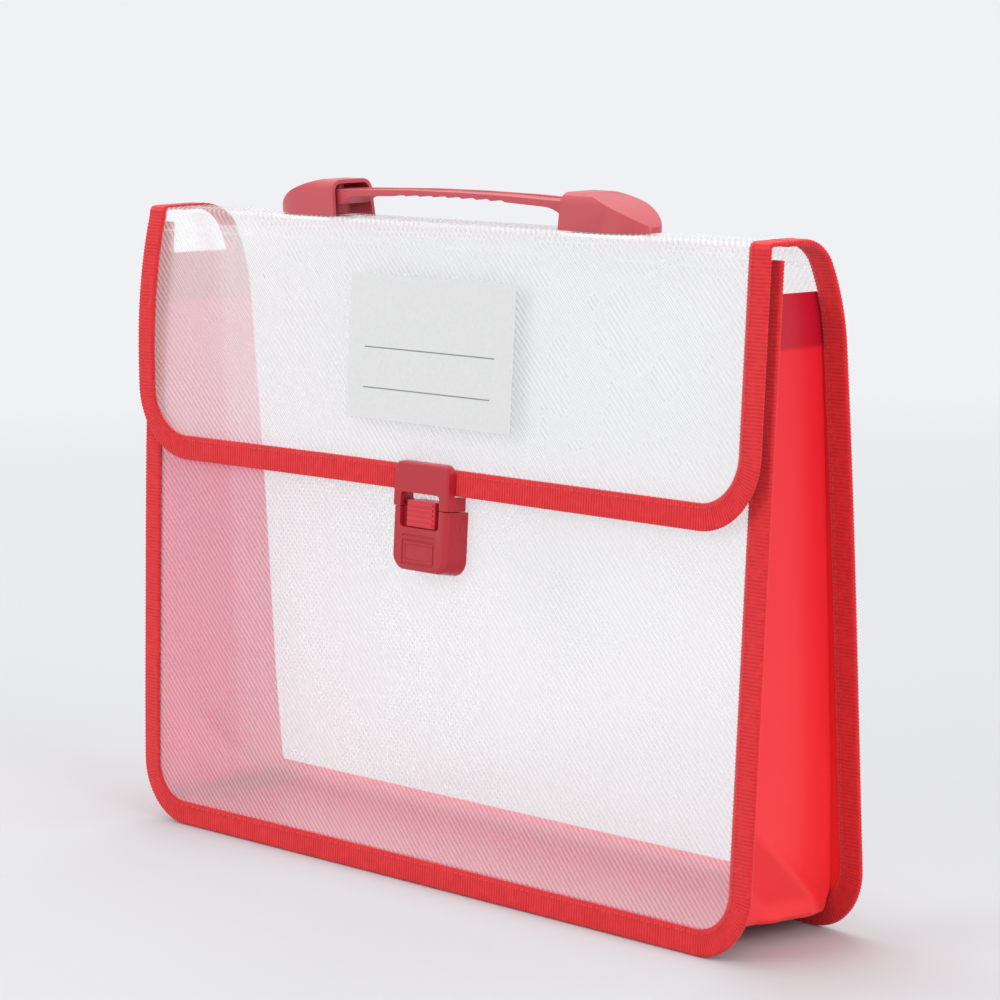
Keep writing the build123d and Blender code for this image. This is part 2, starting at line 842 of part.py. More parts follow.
panel = back_panel()
flange = back_flange()
save("back_panel", panel)
save("back_binding", back_binding(panel, flange))
save("gusset", gusset(flange))
save("front_panel", front_panel())
save("front_binding", front_binding())
save("top_strip", top_strip())
save("flap_sheet", flap_sheet())
save("flap_binding", flap_binding())
save("label", label())
save("clasp_hook", clasp_hook())
save("hook_plate", hook_plate_inside())
save("hook_rivets", hook_rivets())
save("clasp_body", clasp_body())
save("clasp_plate", clasp_plate())
save("clasp_screws", clasp_screws())
save("clasp_spring", clasp_spring())
save("release_button", release_button())
save("handle_strap", handle_strap())
for word, side in (("left", -1), ("right", 1)):
    save(f"strip_binding_{word}", strip_binding(side))
    save(f"handle_cap_{word}", handle_cap(side))
    save(f"handle_plate_{word}", handle_plate(side))
    save(f"handle_screws_{word}", handle_screws(side))
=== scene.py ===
# %% [markdown]
# # An expanding document case
#
# The case is a wedge-shaped pocket of frosted plastic sheet and red coated cloth. One long sheet
# makes the back, runs over the top, and hangs down the front as a flap. A second sheet is the front.
# Red grosgrain tape is folded over every cut edge, a moulded handle sits on the top strip, and a
# two-part push clasp holds the flap. The frame gives every piece its place: this script dresses it.

# %% Load the frame
import json
from math import atan2, cos, pi, radians, sin, tan
import bmesh
import bpy
import numpy as np
from mathutils import Matrix, Vector


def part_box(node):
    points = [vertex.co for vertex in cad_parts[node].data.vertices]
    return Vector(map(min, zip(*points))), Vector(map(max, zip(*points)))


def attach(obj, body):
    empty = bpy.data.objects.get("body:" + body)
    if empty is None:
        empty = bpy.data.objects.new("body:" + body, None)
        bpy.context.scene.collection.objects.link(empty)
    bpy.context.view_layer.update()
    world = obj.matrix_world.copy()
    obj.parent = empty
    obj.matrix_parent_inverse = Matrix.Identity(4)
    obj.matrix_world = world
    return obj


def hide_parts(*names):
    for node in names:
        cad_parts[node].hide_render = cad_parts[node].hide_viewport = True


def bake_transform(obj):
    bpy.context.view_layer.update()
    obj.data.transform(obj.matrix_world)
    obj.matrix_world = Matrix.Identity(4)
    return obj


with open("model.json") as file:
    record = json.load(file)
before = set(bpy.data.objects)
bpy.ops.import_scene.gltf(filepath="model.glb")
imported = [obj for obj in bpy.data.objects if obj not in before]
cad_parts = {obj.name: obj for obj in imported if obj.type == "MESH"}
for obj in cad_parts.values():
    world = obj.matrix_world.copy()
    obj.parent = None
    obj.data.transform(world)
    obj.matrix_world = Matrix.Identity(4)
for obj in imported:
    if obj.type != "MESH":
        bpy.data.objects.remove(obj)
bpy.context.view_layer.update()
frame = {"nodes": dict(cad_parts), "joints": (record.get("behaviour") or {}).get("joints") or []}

MM = 0.001
joints = {joint["name"]: joint for joint in frame["joints"]}


def new_object(name, data):
    """An object in the scene that shows the data."""
    thing = bpy.data.objects.new(name, data)
    bpy.context.collection.objects.link(thing)
    return thing


# %% [markdown]
# ## Camera
#
# The photograph is taken from the right of the case and a little above it, with a long lens, so the
# upright edges stay nearly parallel. A camera is a matrix: its three axes and its place. Writing the
# axes from a yaw, a pitch and a small roll keeps the numbers readable.

# %% Camera
CAMERA_YAW = radians(47.8503)
CAMERA_PITCH = radians(8.3265)
CAMERA_ROLL = radians(-1.014)
CAMERA_LENS = 135.46
CAMERA_DISTANCE = 1375.96 * MM
CAMERA_AIM = Vector((0, -0.75 * MM, 129.9 * MM))
CAMERA_SIDESTEP = 10.169 * MM
CAMERA_LIFT = 9.042 * MM
CAMERA_SIGHT = 200.0


def place_camera():
    level = cos(CAMERA_PITCH)
    back = Vector((sin(CAMERA_YAW) * level, -cos(CAMERA_YAW) * level, sin(CAMERA_PITCH)))
    right = (-back).cross(Vector((0, 0, 1))).normalized()
    up = right.cross(-back)
    eye = CAMERA_AIM + back * CAMERA_DISTANCE + right * CAMERA_SIDESTEP + up * CAMERA_LIFT
    rolled_right = right * cos(CAMERA_ROLL) + up * sin(CAMERA_ROLL)
    rolled_up = up * cos(CAMERA_ROLL) - right * sin(CAMERA_ROLL)
    axes = Matrix((rolled_right, rolled_up, back)).transposed()
    camera = new_object("camera", bpy.data.cameras.new("camera"))
    camera.data.lens = CAMERA_LENS
    camera.data.clip_end = CAMERA_SIGHT
    camera.matrix_world = Matrix.Translation(eye) @ axes.to_4x4()
    bpy.context.scene.camera = camera
    return camera


print("camera stands at", [round(c, 3) for c in place_camera().location])

# %% [markdown]
# ## Small helpers for node trees
#
# Materials and Geometry Nodes are both node trees. One helper adds a node and fills its inputs, either
# with a plain value or with the output of another node, so that a tree reads like a sum.

# %% Node helpers


def plug(tree, socket, value):
    """Sets an input to a value, or links it to another node's output."""
    if isinstance(value, bpy.types.NodeSocket):
        tree.links.new(value, socket)
    else:
        socket.default_value = value


def add_node(tree, kind, inputs=None, **settings):
    """Adds a node, gives it its settings, and fills its inputs by name or by number."""
    node = tree.nodes.new(kind)
    for name, value in settings.items():
        setattr(node, name, value)
    for name, value in (inputs or {}).items():
        plug(tree, node.inputs[name], value)
    return node


def result(tree, kind, inputs=None, **settings):
    """The first output of a new node."""
    return add_node(tree, kind, inputs, **settings).outputs[0]


def maths(tree, operation, a, b=0.0):
    """One sum of two numbers."""
    return result(tree, "ShaderNodeMath", {0: a, 1: b}, operation=operation)


def remap(tree, value, low, high, start=0.0, end=1.0):
    """Moves a value from one range to another and holds it there."""
    inputs = {"Value": value, "From Min": low, "From Max": high, "To Min": start, "To Max": end}
    return add_node(tree, "ShaderNodeMapRange", inputs).outputs["Result"]


def blend_colours(tree, amount, first, second):
    """Mixes two colours by an amount from 0 to 1. Each is three numbers or a node's output."""
    node = add_node(tree, "ShaderNodeMix", {"Factor": amount}, data_type="RGBA")
    for number, colour in ((6, first), (7, second)):
        plug(tree, node.inputs[number], (*colour, 1) if isinstance(colour, tuple) else colour)
    return node.outputs[2]


def attribute(tree, name):
    """Reads a value that the mesh carries at its points."""
    return add_node(tree, "ShaderNodeAttribute", attribute_name=name).outputs["Fac"]


def flat_place(tree):
    """Where a point lay on the flat sheet, as a vector."""
    return add_node(tree, "ShaderNodeAttribute", attribute_name="flat").outputs["Vector"]


def split(tree, vector):
    """The three parts of a vector."""
    return add_node(tree, "ShaderNodeSeparateXYZ", {0: vector}).outputs


def object_position(tree):
    return add_node(tree, "ShaderNodeTexCoord").outputs["Object"]


def noise(tree, vector, scale, detail=2.0):
    inputs = {"Vector": vector, "Scale": scale, "Detail": detail}
    return add_node(tree, "ShaderNodeTexNoise", inputs).outputs["Fac"]


def new_material(name, slot_colour, **constants):
    """A material with one Principled shader. The constants go on the shader's own sockets."""
    material = bpy.data.materials.new(name)
    material.use_nodes = True
    shader = material.node_tree.nodes["Principled BSDF"]
    shader.inputs["Base Color"].default_value = (*slot_colour, 1)
    for socket, value in constants.items():
        shader.inputs[socket.replace("_", " ")].default_value = value
    return material, material.node_tree, shader


def bump(tree, shader, height, distance, strength=1.0):
    """Turns a height into a bumpy surface. The distance is the real depth of the bumps."""
    inputs = {"Height": height, "Distance": distance, "Strength": strength}
    node = add_node(tree, "ShaderNodeBump", inputs)
    tree.links.new(node.outputs["Normal"], shader.inputs["Normal"])


def srgb(red, green, blue):
    """A colour as seen on a screen, 0 to 255, turned into the linear values that shaders use."""
    parts = [c / 255 for c in (red, green, blue)]
    return tuple(c / 12.92 if c <= 0.04045 else ((c + 0.055) / 1.055) ** 2.4 for c in parts)


# %% [markdown]
# ## Floor and light
#
# The photograph is high key: a pale sweep, light from all round, and only a faint shadow. A round
# floor takes the shadow near the case. Further out it turns into a flat glow of the world's own pale
# tone, only where it is seen and not for the light it gives, so that no horizon shows.

# %% Floor
FLOOR_TONE = srgb(199, 200, 203)
SWEEP_TONE = srgb(240, 241, 244)
FLOOR_RADIUS = 30.0
FLOOR_SIDES = 96
GLOW_START = 0.36
GLOW_END = 1.5


def seen_directly(tree):
    """1 where the camera, a reflection or a clear piece shows the thing, and 0 for its light."""
    ray = add_node(tree, "ShaderNodeLightPath").outputs
    seen = maths(tree, "MAXIMUM", ray["Is Camera Ray"], ray["Is Glossy Ray"])
    return maths(tree, "MAXIMUM", seen, ray["Is Transmission Ray"])


def floor_material():
    looks = {"Roughness": 0.75, "Specular_IOR_Level": 0.2}
    material, tree, shader = new_material("studio_floor", FLOOR_TONE, **looks)
    away = add_node(tree, "ShaderNodeVectorMath", {0: object_position(tree)}, operation="LENGTH")
    far = remap(tree, away.outputs["Value"], GLOW_START, GLOW_END)
    glow = result(tree, "ShaderNodeEmission", {"Color": (*SWEEP_TONE, 1), "Strength": 1.0})
    amount = maths(tree, "MULTIPLY", far, seen_directly(tree))
    mixed = result(tree, "ShaderNodeMixShader", {0: amount, 1: shader.outputs[0], 2: glow})
    tree.links.new(mixed, tree.nodes["Material Output"].inputs["Surface"])
    return material


def make_floor():
    mesh = bpy.data.meshes.new("studio_floor")
    build = bmesh.new()
    bmesh.ops.create_circle(build, cap_ends=True, radius=FLOOR_RADIUS, segments=FLOOR_SIDES)
    build.to_mesh(mesh)
    build.free()
    mesh.materials.append(floor_material())
    floor = new_object("studio_floor", mesh)


make_floor()

# %% World and lamps
WORLD_LIGHT = 0.8
# Each soft box has a place in metres, a power in watts and a side in metres.
SOFT_BOXES = {
    "top_soft_box": ((-0.5, 0.3, 1.7), 15.5, 1.4),
    "right_soft_box": ((1.9, -0.2, 0.9), 14.5, 1.0),
    "front_soft_box": ((-0.6, -1.9, 1.1), 14.4, 1.2),
}


def make_world():
    world = bpy.data.worlds.new("studio")
    world.use_nodes = True
    bpy.context.scene.world = world
    tree = world.node_tree
    light = tree.nodes["Background"]
    light.inputs["Color"].default_value = (1, 1, 1, 1)
    light.inputs["Strength"].default_value = WORLD_LIGHT
    shown = result(tree, "ShaderNodeBackground", {"Color": (*SWEEP_TONE, 1), "Strength": 1.0})
    mixed = result(tree, "ShaderNodeMixShader", {0: seen_directly(tree), 1: light.outputs[0], 2: shown})
    tree.links.new(mixed, tree.nodes["World Output"].inputs["Surface"])


def make_lamp(name, place, power, size):
    """A square soft box that faces the middle of the case."""
    lamp = bpy.data.lights.new(name, "AREA")
    lamp.energy = power
    lamp.size = size
    holder = new_object(name, lamp)
    holder.location = place
    towards = CAMERA_AIM - Vector(place)
    holder.rotation_euler = towards.to_track_quat("-Z", "Y").to_euler()


bpy.context.scene.view_settings.view_transform = "Standard"
make_world()
for lamp_name, lamp_facts in SOFT_BOXES.items():
    make_lamp(lamp_name, *lamp_facts)

# %% [markdown]
# ## The line that the long sheet follows
#
# Seen from the end, the back sheet leans forwards, bends softly, turns over the shoulder, runs flat
# and then drops at the front crease. It is a chain of straight runs and round bends, so one function
# can turn a length along the sheet into a place. Every piece that belongs to the sheet then needs
# only three numbers: across, along, and off its middle.
#
# The soft sheets aren't flat. The front and the flap bow forwards towards their left end, by an
# amount that changes with the height, and the back gives a little between its seams.

# %% The middle line of back, top and flap
CASE_WIDTH = 330 * MM
HALF_WIDTH = CASE_WIDTH / 2
SHEET = 0.6 * MM
TAPE = 0.6 * MM
CLOTH = 0.4 * MM
BINDING_WIDTH = 9.5 * MM
PANEL_CORNER = 24 * MM
FLAP_CORNER = 27 * MM
BACK_LEAN = radians(2.27)
BACK_RUN = 205 * MM
BACK_BEND = (80 * MM, radians(20))
SHOULDER_RADIUS = 14.3 * MM
TOP_RUN = 16.3 * MM
FLAP_LENGTH = 96.8 * MM
CREASE_RADIUS = 1.8 * MM

back_crease = Vector(joints["strip_fold"]["pos_m"])
front_up = Vector(joints["button_slide"]["axis"])
front_out = Vector((0, -front_up.z, front_up.y))
crease_turn = pi / 2 - atan2(front_up.y, front_up.z)
crease_cut = CREASE_RADIUS * tan(crease_turn / 2)
shoulder_turn = pi / 2 - BACK_LEAN - BACK_BEND[1]
back_foot_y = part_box("back_binding")[1].y - SHEET / 2 - TAPE
MOVES = [
    (BACK_RUN, 0.0),
    (BACK_BEND[0] * BACK_BEND[1], BACK_BEND[1]),
    (SHOULDER_RADIUS * shoulder_turn, shoulder_turn),
    (TOP_RUN - crease_cut, 0.0),
    (CREASE_RADIUS * crease_turn, crease_turn),
    (FLAP_LENGTH - crease_cut, 0.0),
]
run_ends = np.cumsum([length for length, _ in MOVES])
BACK_CREASE_RUN = run_ends[1]
STRIP_MIDDLE_RUN = (run_ends[2] + run_ends[3]) / 2
FRONT_CREASE_RUN = (run_ends[3] + run_ends[4]) / 2
SHEET_END_RUN = run_ends[5]


def fade(value, start, end):
    """0 at the start, 1 at the end, straight between them and held beyond."""
    return np.clip((value - start) / (end - start), 0, 1)


def advance(heading, bend, step):
    """How far a run goes along y and z from a heading, when it bends by so much for each metre."""
    if not bend:
        return -sin(heading) * step, cos(heading) * step
    angle = heading + bend * step
    return (np.cos(angle) - cos(heading)) / bend, (np.sin(angle) - sin(heading)) / bend


def middle_line(run):
    """Place (y, z) and heading on the middle line, for an array of lengths along it."""
    run = np.asarray(run, float)
    y, z, heading, start = back_foot_y, 0.0, BACK_LEAN, 0.0
    places = np.zeros((*run.shape, 3))
    for number, (length, turn) in enumerate(MOVES):
        step = run - start
        inside = ((step >= 0) | (number == 0)) & ((step <= length) | (number == len(MOVES) - 1))
        bend = turn / length
        step_y, step_z = advance(heading, bend, step)
        here = np.stack([y + step_y, z + step_z, heading + bend * step], axis=-1)
        places = np.where(inside[..., None], here, places)
        end_y, end_z = advance(heading, bend, length)
        y, z, heading, start = y + end_y, z + end_z, heading + turn, start + length
    return places


CLASP_X = 1.2 * MM
FLAP_STANDOFF = 5.5 * MM
# Bows are pairs of a height and an amount in mm.
FRONT_BOW = ((0, 0.7), (10, 1.9), (50, 3.9), (100, 6.0), (144, 8.0), (190, 8.4), (223, 7.0))
FLAP_BOW = ((140, 3.6), (154, 4.7), (173, 6.6), (192, 7.7), (208, 7.9), (222, 6.8), (238, 4.4))
BOW_DEGREE = 4
BACK_BOW = 1.2 * MM
BACK_BOW_RISE = 1.5


def left_bow(points, profile):
    """Bows a soft sheet forwards towards its left end, by a smooth curve through the profile."""
    heights, bows = np.array(profile).T
    left = fade(points[..., 0], CLASP_X, -HALF_WIDTH) ** 2
    curve = np.polyfit(heights, bows, BOW_DEGREE)
    rise = np.polyval(curve, np.clip(points[..., 2] / MM, heights[0], heights[-1])) * MM
    return points - np.stack([0 * rise, rise * left, 0 * rise], axis=-1)


def long_sheet(x, run, off):
    """Points on the long sheet: x across, run along it, and off its middle towards its outside."""
    x, run, off = np.broadcast_arrays(x, run, off)
    y, z, heading = np.moveaxis(middle_line(run), -1, 0)
    points = np.stack([x, y + off * np.cos(heading), z + off * np.sin(heading)], axis=-1)
    slack = np.sin(pi * fade(run, 0, BACK_CREASE_RUN) ** BACK_BOW_RISE)
    points[..., 1] += BACK_BOW * slack * (x / HALF_WIDTH) ** 2
    share = fade(run, BACK_CREASE_RUN, FRONT_CREASE_RUN)[..., None]
    eased = share ** 2 * (3 - 2 * share)
    return points + (left_bow(points, FLAP_BOW) - points) * eased


front_foot = Vector((0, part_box("front_binding")[0].y + SHEET / 2 + TAPE, 0))
front_base = front_foot + front_out * SHEET / 2


def front_sheet(x, up, off):
    """Points on the front sheet: x across, up along it, and off its outer face."""
    x, up, off = np.broadcast_arrays(x, up, off)
    y = front_base.y + up * front_up.y + off * front_out.y
    z = front_base.z + up * front_up.z + off * front_out.z
    return left_bow(np.stack([x, y, z], axis=-1), FRONT_BOW)


tip = long_sheet(0.0, BACK_CREASE_RUN, 0.0)
print("back crease off by mm:", np.round((tip - np.array(back_crease)) / MM, 2))
print("flap hangs mm before the front:", FLAP_STANDOFF / MM, "runs:", np.round(run_ends / MM, 1))

# %% [markdown]
# ## Meshes from grids
#
# Sheet goods are thin. A grid of points for each face, closed round its rim, is a real solid with its
# outside outwards. Each point also keeps where it lay on the flat sheet, so that a pattern can follow
# the sheet round its bends.

# %% Mesh helpers
SHEET_EDGE = radians(50)


def shade_smooth(mesh):
    mesh.polygons.foreach_set("use_smooth", [True] * len(mesh.polygons))


def new_piece(name, points, faces):
    """A mesh object from points in metres and faces as lists of point numbers."""
    mesh = bpy.data.meshes.new(name)
    mesh.from_pydata(points.tolist(), [], faces)
    mesh.validate()
    shade_smooth(mesh)
    return new_object(name, mesh)


def keep_vector(piece, name, values):
    """Stores a vector at each point, for the material or a node tree to read."""
    layer = piece.data.attributes.new(name, "FLOAT_VECTOR", "POINT")
    layer.data.foreach_set("vector", np.asarray(values, np.float32).reshape(-1))


def keep_value(piece, name, values):
    """Stores a number at each point."""
    layer = piece.data.attributes.new(name, "FLOAT", "POINT")
    layer.data.foreach_set("value", np.asarray(values, np.float32).reshape(-1))


def thin_solid(name, outer, inner, flat):
    """A closed thin solid between two grids of points of the same size."""
    rows, columns = outer.shape[:2]
    number = np.arange(rows * columns).reshape(rows, columns)
    a, b = number[:-1, :-1].ravel(), number[:-1, 1:].ravel()
    c, d = number[1:, 1:].ravel(), number[1:, :-1].ravel()
    back = rows * columns
    faces = np.stack([a, b, c, d], axis=1).tolist()
    faces += (np.stack([d, c, b, a], axis=1) + back).tolist()
    rim = np.concatenate([number[0, :-1], number[:-1, -1], number[-1, :0:-1], number[:0:-1, 0]])
    after = np.roll(rim, -1)
    faces += np.stack([after, rim, rim + back, after + back], axis=1).tolist()
    piece = new_piece(name, np.concatenate([outer.reshape(-1, 3), inner.reshape(-1, 3)]), faces)
    keep_vector(piece, "flat", np.concatenate([flat.reshape(-1, 3), flat.reshape(-1, 3)]))
    keep_value(piece, "inside", np.repeat([0.0, 1.0], rows * columns))
    piece.data.set_sharp_from_angle(angle=SHEET_EDGE)
    return piece


def turned_out(piece):
    """Makes every face of a closed piece point outwards."""
    build = bmesh.new()
    build.from_mesh(piece.data)
    bmesh.ops.recalc_face_normals(build, faces=build.faces)
    build.to_mesh(piece.data)
    build.free()
    return piece


def rounded_half_width(height, half, corner):
    """Half the width of a panel at a height above its round-cornered lower edge."""
    drop = np.clip(corner - height, 0, corner)
    return half - corner + np.sqrt(corner ** 2 - drop ** 2)


def spaced(*stops):
    """Evenly spaced steps between stops, given as value, count, value, count, value."""
    parts = []
    for start, count, end in zip(stops[:-2:2], stops[1::2], stops[2::2]):
        parts.append(np.linspace(start, end, count, endpoint=False))
    return np.append(np.concatenate(parts), stops[-1])


# %% [markdown]
# ## Frosted sheet
#
# Polypropylene for cases is rolled with fine diagonal ridges. Part of the light goes straight through,
# part is scattered on its way, and the rest is sent back as a milky white. Alpha says how much is
# held back, a rough transmission makes the blurred part, and the base colour is the milk. The ridges
# change how much is held back, which draws the hatch over the red cloth.
#
# A sheet has two faces, and most of the milk lies on the outer one, or else it would count twice.
# Light on its way through to the cloth and the floor meets a thinner cover than the eye does, so
# that the inside of the case stays as bright as scattered light makes it.

# %% Frosted sheet material
RIDGE_PITCH = 1.9 * MM
RIDGE_SLOPE = radians(45)
CLEAR_COVER = 0.25
RIDGE_COVER = 0.48
INNER_SHARE = 0.15
SCATTERED_SHARE = 0.2
SHEET_MILK = (0.985, 0.99, 1.0)
RIDGE_MILK = (0.915, 0.925, 0.935)
RIDGE_SPAN = (-0.7, 0.9)
RIDGE_DEPTH = 0.006 * MM
CLOUD_SCALE = 35
CLOUD_COVER = 0.01
# The grey milk of a pressed line is painted shade of its groove; the denser cover there is the line's own.
PRESSED_LINE_SHADE_MILK = (0.86, 0.86, 0.88)
MARK_COVER = 0.9


def frosted_material():
    looks = {"Roughness": 0.28, "IOR": 1.3, "Transmission_Weight": 0.28, "Specular_IOR_Level": 0.35}
    material, tree, shader = new_material("frosted_sheet", SHEET_MILK, **looks)
    flat = flat_place(tree)
    x, up, _ = split(tree, flat)
    along_x = maths(tree, "MULTIPLY", x, sin(RIDGE_SLOPE) * 2 * pi / RIDGE_PITCH)
    along_up = maths(tree, "MULTIPLY", up, cos(RIDGE_SLOPE) * 2 * pi / RIDGE_PITCH)
    ridge = maths(tree, "SINE", maths(tree, "ADD", along_x, along_up))
    cover = remap(tree, ridge, *RIDGE_SPAN, CLEAR_COVER, RIDGE_COVER)
    cloud = remap(tree, noise(tree, flat, CLOUD_SCALE), 0.3, 0.7, -CLOUD_COVER, CLOUD_COVER)
    cover = maths(tree, "ADD", cover, cloud)
    face_share = remap(tree, attribute(tree, "inside"), 0.0, 1.0, 1.0, INNER_SHARE)
    cover = maths(tree, "MULTIPLY", cover, face_share)
    ray = add_node(tree, "ShaderNodeLightPath").outputs
    scattered = maths(tree, "MAXIMUM", ray["Is Shadow Ray"], ray["Is Diffuse Ray"])
    cover = maths(tree, "MULTIPLY", cover, remap(tree, scattered, 0.0, 1.0, 1.0, SCATTERED_SHARE))
    # Along pressed lines the cover is denser, and the milk turns grey as painted shade of the groove.
    pressed_line_and_shade = attribute(tree, "pressed_line_and_shade")
    cover = maths(tree, "MAXIMUM", cover, maths(tree, "MULTIPLY", pressed_line_and_shade, MARK_COVER))
    plug(tree, shader.inputs["Alpha"], cover)
    milk = blend_colours(tree, remap(tree, ridge, *RIDGE_SPAN), SHEET_MILK, RIDGE_MILK)
    plug(tree, shader.inputs["Base Color"], blend_colours(tree, pressed_line_and_shade, milk, PRESSED_LINE_SHADE_MILK))
    bump(tree, shader, ridge, RIDGE_DEPTH)
    return material


frosted = frosted_material()

# %% Front sheet
PANEL_ROWS = 70
PANEL_COLUMNS = 60
TOP_GAP = 0.1 * MM
front_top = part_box("front_panel")[1].z / front_up.z


def panel_grid(place, rows, corner, low, inner_off, outer_off):
    """Two grids of points on a round-cornered panel, which ends inside its tape."""
    across = np.linspace(-1, 1, PANEL_COLUMNS)
    widths = rounded_half_width(rows - low, HALF_WIDTH - TAPE, corner - TAPE)
    x = widths[:, None] * across[None, :]
    along = np.repeat(rows[:, None], PANEL_COLUMNS, axis=1)
    flat = np.stack([x, along, np.zeros_like(x)], axis=-1)
    return place(x, along, outer_off), place(x, along, inner_off), flat


def make_front_sheet():
    rows = spaced(TAPE, 14, PANEL_CORNER, PANEL_ROWS, front_top - TOP_GAP)
    outer, inner, flat = panel_grid(front_sheet, rows, PANEL_CORNER, TAPE, -SHEET, 0.0)
    piece = turned_out(thin_solid("front_sheet", outer, inner, flat))
    keep_value(piece, "pressed_line_and_shade", np.zeros(len(piece.data.vertices)))
    piece.data.materials.append(frosted)
    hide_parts("front_panel")
    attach(piece, "front")


make_front_sheet()

# %% [markdown]
# ## The long sheet
#
# It is one sheet on the real case, so it is made in two pieces only, which meet in the middle of the
# top strip. Both count their place on the flat sheet from the flap's end, so that the hatch runs on
# over the top without a break.

# %% Back sheet and flap sheet
CREASE_REACH = 3.0 * MM
SCORE_DROP = 8.0 * MM
MARK_WIDTH = 0.8 * MM
MARK_STRENGTH = 0.5
MARK_FADE = 0.8 * MARK_WIDTH
MARK_ROWS = np.array([-1, -0.5, 0, 0.5, 1]) * MARK_WIDTH
FLAT_END = SHEET_END_RUN - TAPE


def blend_over(piece, run):
    """Works out the long sheet's points on both sides of the crease at that run, and bakes the piece's
    transform into its mesh.
    """
    start = Vector(long_sheet(0.0, run - CREASE_REACH, 0.0))
    end = Vector(long_sheet(0.0, run + CREASE_REACH, 0.0))
    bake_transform(piece)


def with_line(rows, run):
    """Adds rows on both sides of a pressed line, so that it stays narrow."""
    return np.unique(np.append(rows, run + MARK_ROWS))


def mark_lines(piece, rows, runs):
    """Says which rows lie on a pressed line, for the material, which gives them a denser cover and a grey
    milk painted as the groove's shade.
    """
    row_marks = np.zeros(len(rows))
    for run in runs:
        row_marks = np.maximum(row_marks, np.clip(1 - np.abs(rows - run) / MARK_FADE, 0, 1))
    keep_value(piece, "pressed_line_and_shade", np.tile(np.repeat(row_marks, PANEL_COLUMNS), 2) * MARK_STRENGTH)


def make_back_sheet():
    bends = (BACK_RUN, 16, BACK_CREASE_RUN, 24, run_ends[2], 4, STRIP_MIDDLE_RUN)
    rows = with_line(spaced(TAPE, 12, PANEL_CORNER, 30, *bends), BACK_CREASE_RUN)
    outer, inner, flat = panel_grid(long_sheet, rows, PANEL_CORNER, TAPE, -SHEET / 2, SHEET / 2)
    flat[..., 1] = FLAT_END - flat[..., 1]
    piece = turned_out(thin_solid("back_sheet", outer, inner, flat))
    mark_lines(piece, rows, (BACK_CREASE_RUN,))
    piece.data.materials.append(frosted)
    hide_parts("back_panel")
    blend_over(piece, BACK_CREASE_RUN)


def make_flap_sheet():
    bends = (STRIP_MIDDLE_RUN, 6, run_ends[3], 10, run_ends[4], 30)
    rows = spaced(*bends, FLAT_END - FLAP_CORNER, 14, FLAT_END)
    rows = FLAT_END - with_line(rows, FRONT_CREASE_RUN + SCORE_DROP)

    def upside_down(x, height, off):
        return long_sheet(x, FLAT_END - height, off)

    outer, inner, flat = panel_grid(upside_down, rows, FLAP_CORNER, 0.0, -SHEET / 2, SHEET / 2)
    piece = turned_out(thin_solid("flap_sheet_skin", outer, inner, flat))
    mark_lines(piece, FLAT_END - rows, (FRONT_CREASE_RUN + SCORE_DROP,))
    piece.data.materials.append(frosted)
    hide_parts("flap_sheet", "top_strip")
    blend_over(piece, FRONT_CREASE_RUN)


make_back_sheet()
make_flap_sheet()

# %% [markdown]
# ## Red tape
#
# Grosgrain tape has ribs straight across it. It is folded over the cut edge like a long U. The fold
# line is a curve round the panel, and a Geometry Nodes tree sweeps the U along it and raises a rib at
# each step, so one tree makes all the bindings. The curve carries the sheet's own normal, which
# keeps the U flat on the sheet round the corners, over the crease and along the bows.

# %% Tape material
TAPE_RED = srgb(228, 48, 50)
TAPE_DEEP_TONE_AND_SHADE = srgb(196, 26, 38)
FIBRE_SCALE = 900
WORN_SCALE = 260


def tape_material():
    looks = {"Roughness": 0.82, "Sheen_Weight": 0.25, "Sheen_Roughness": 0.5, "Specular_IOR_Level": 0.2}
    material, tree, shader = new_material("red_grosgrain", TAPE_RED, **looks)
    place = object_position(tree)
    fibre = noise(tree, place, FIBRE_SCALE, 3)
    patch = remap(tree, noise(tree, place, 40), 0.3, 0.7, 0.85, 1.0)
    worn = remap(tree, noise(tree, place, WORN_SCALE), 0.42, 0.62, 0.15, 0.8)
    # The colour is painted darker in the valleys between the ribs, as their shade; the noises vary the tone
    # at random.
    shade = maths(tree, "MAXIMUM", attribute(tree, "rib"), worn)
    shade = maths(tree, "MULTIPLY", shade, remap(tree, fibre, 0.3, 0.7, 0.6, 1.0))
    shade = maths(tree, "MULTIPLY", shade, patch)
    plug(tree, shader.inputs["Base Color"], blend_colours(tree, shade, TAPE_DEEP_TONE_AND_SHADE, TAPE_RED))
    bump(tree, shader, fibre, 0.12 * MM, 0.6)
    return material


grosgrain = tape_material()

# %% The tree that sweeps a tape
RIB_PITCH = 1.3 * MM
RIB_HEIGHT = 0.28 * MM
RIB_SAMPLES = 4


def group_socket(tree, name, kind, value=None):
    """A named input of a node group."""
    socket = tree.interface.new_socket(name=name, in_out="INPUT", socket_type=kind)
    if value is not None:
        socket.default_value = value
    return socket


def start_tree(name):
    """A Geometry Nodes tree with a geometry input and output."""
    tree = bpy.data.node_groups.new(name, "GeometryNodeTree")
    tree.interface.new_socket(name="Geometry", in_out="OUTPUT", socket_type="NodeSocketGeometry")
    group_socket(tree, "Geometry", "NodeSocketGeometry")
    return tree


def finish_tree(tree, geometry, material):
    """Real geometry with its material, as the tree's result."""
    real = result(tree, "GeometryNodeRealizeInstances", {"Geometry": geometry})
    dressed = result(tree, "GeometryNodeSetMaterial", {"Geometry": real, "Material": material})
    output = tree.nodes.new("NodeGroupOutput")
    tree.links.new(dressed, output.inputs[0])


def named(tree, name, kind="FLOAT"):
    """Reads a named attribute inside a Geometry Nodes tree."""
    node = add_node(tree, "GeometryNodeInputNamedAttribute", {"Name": name}, data_type=kind)
    return node.outputs["Attribute"]


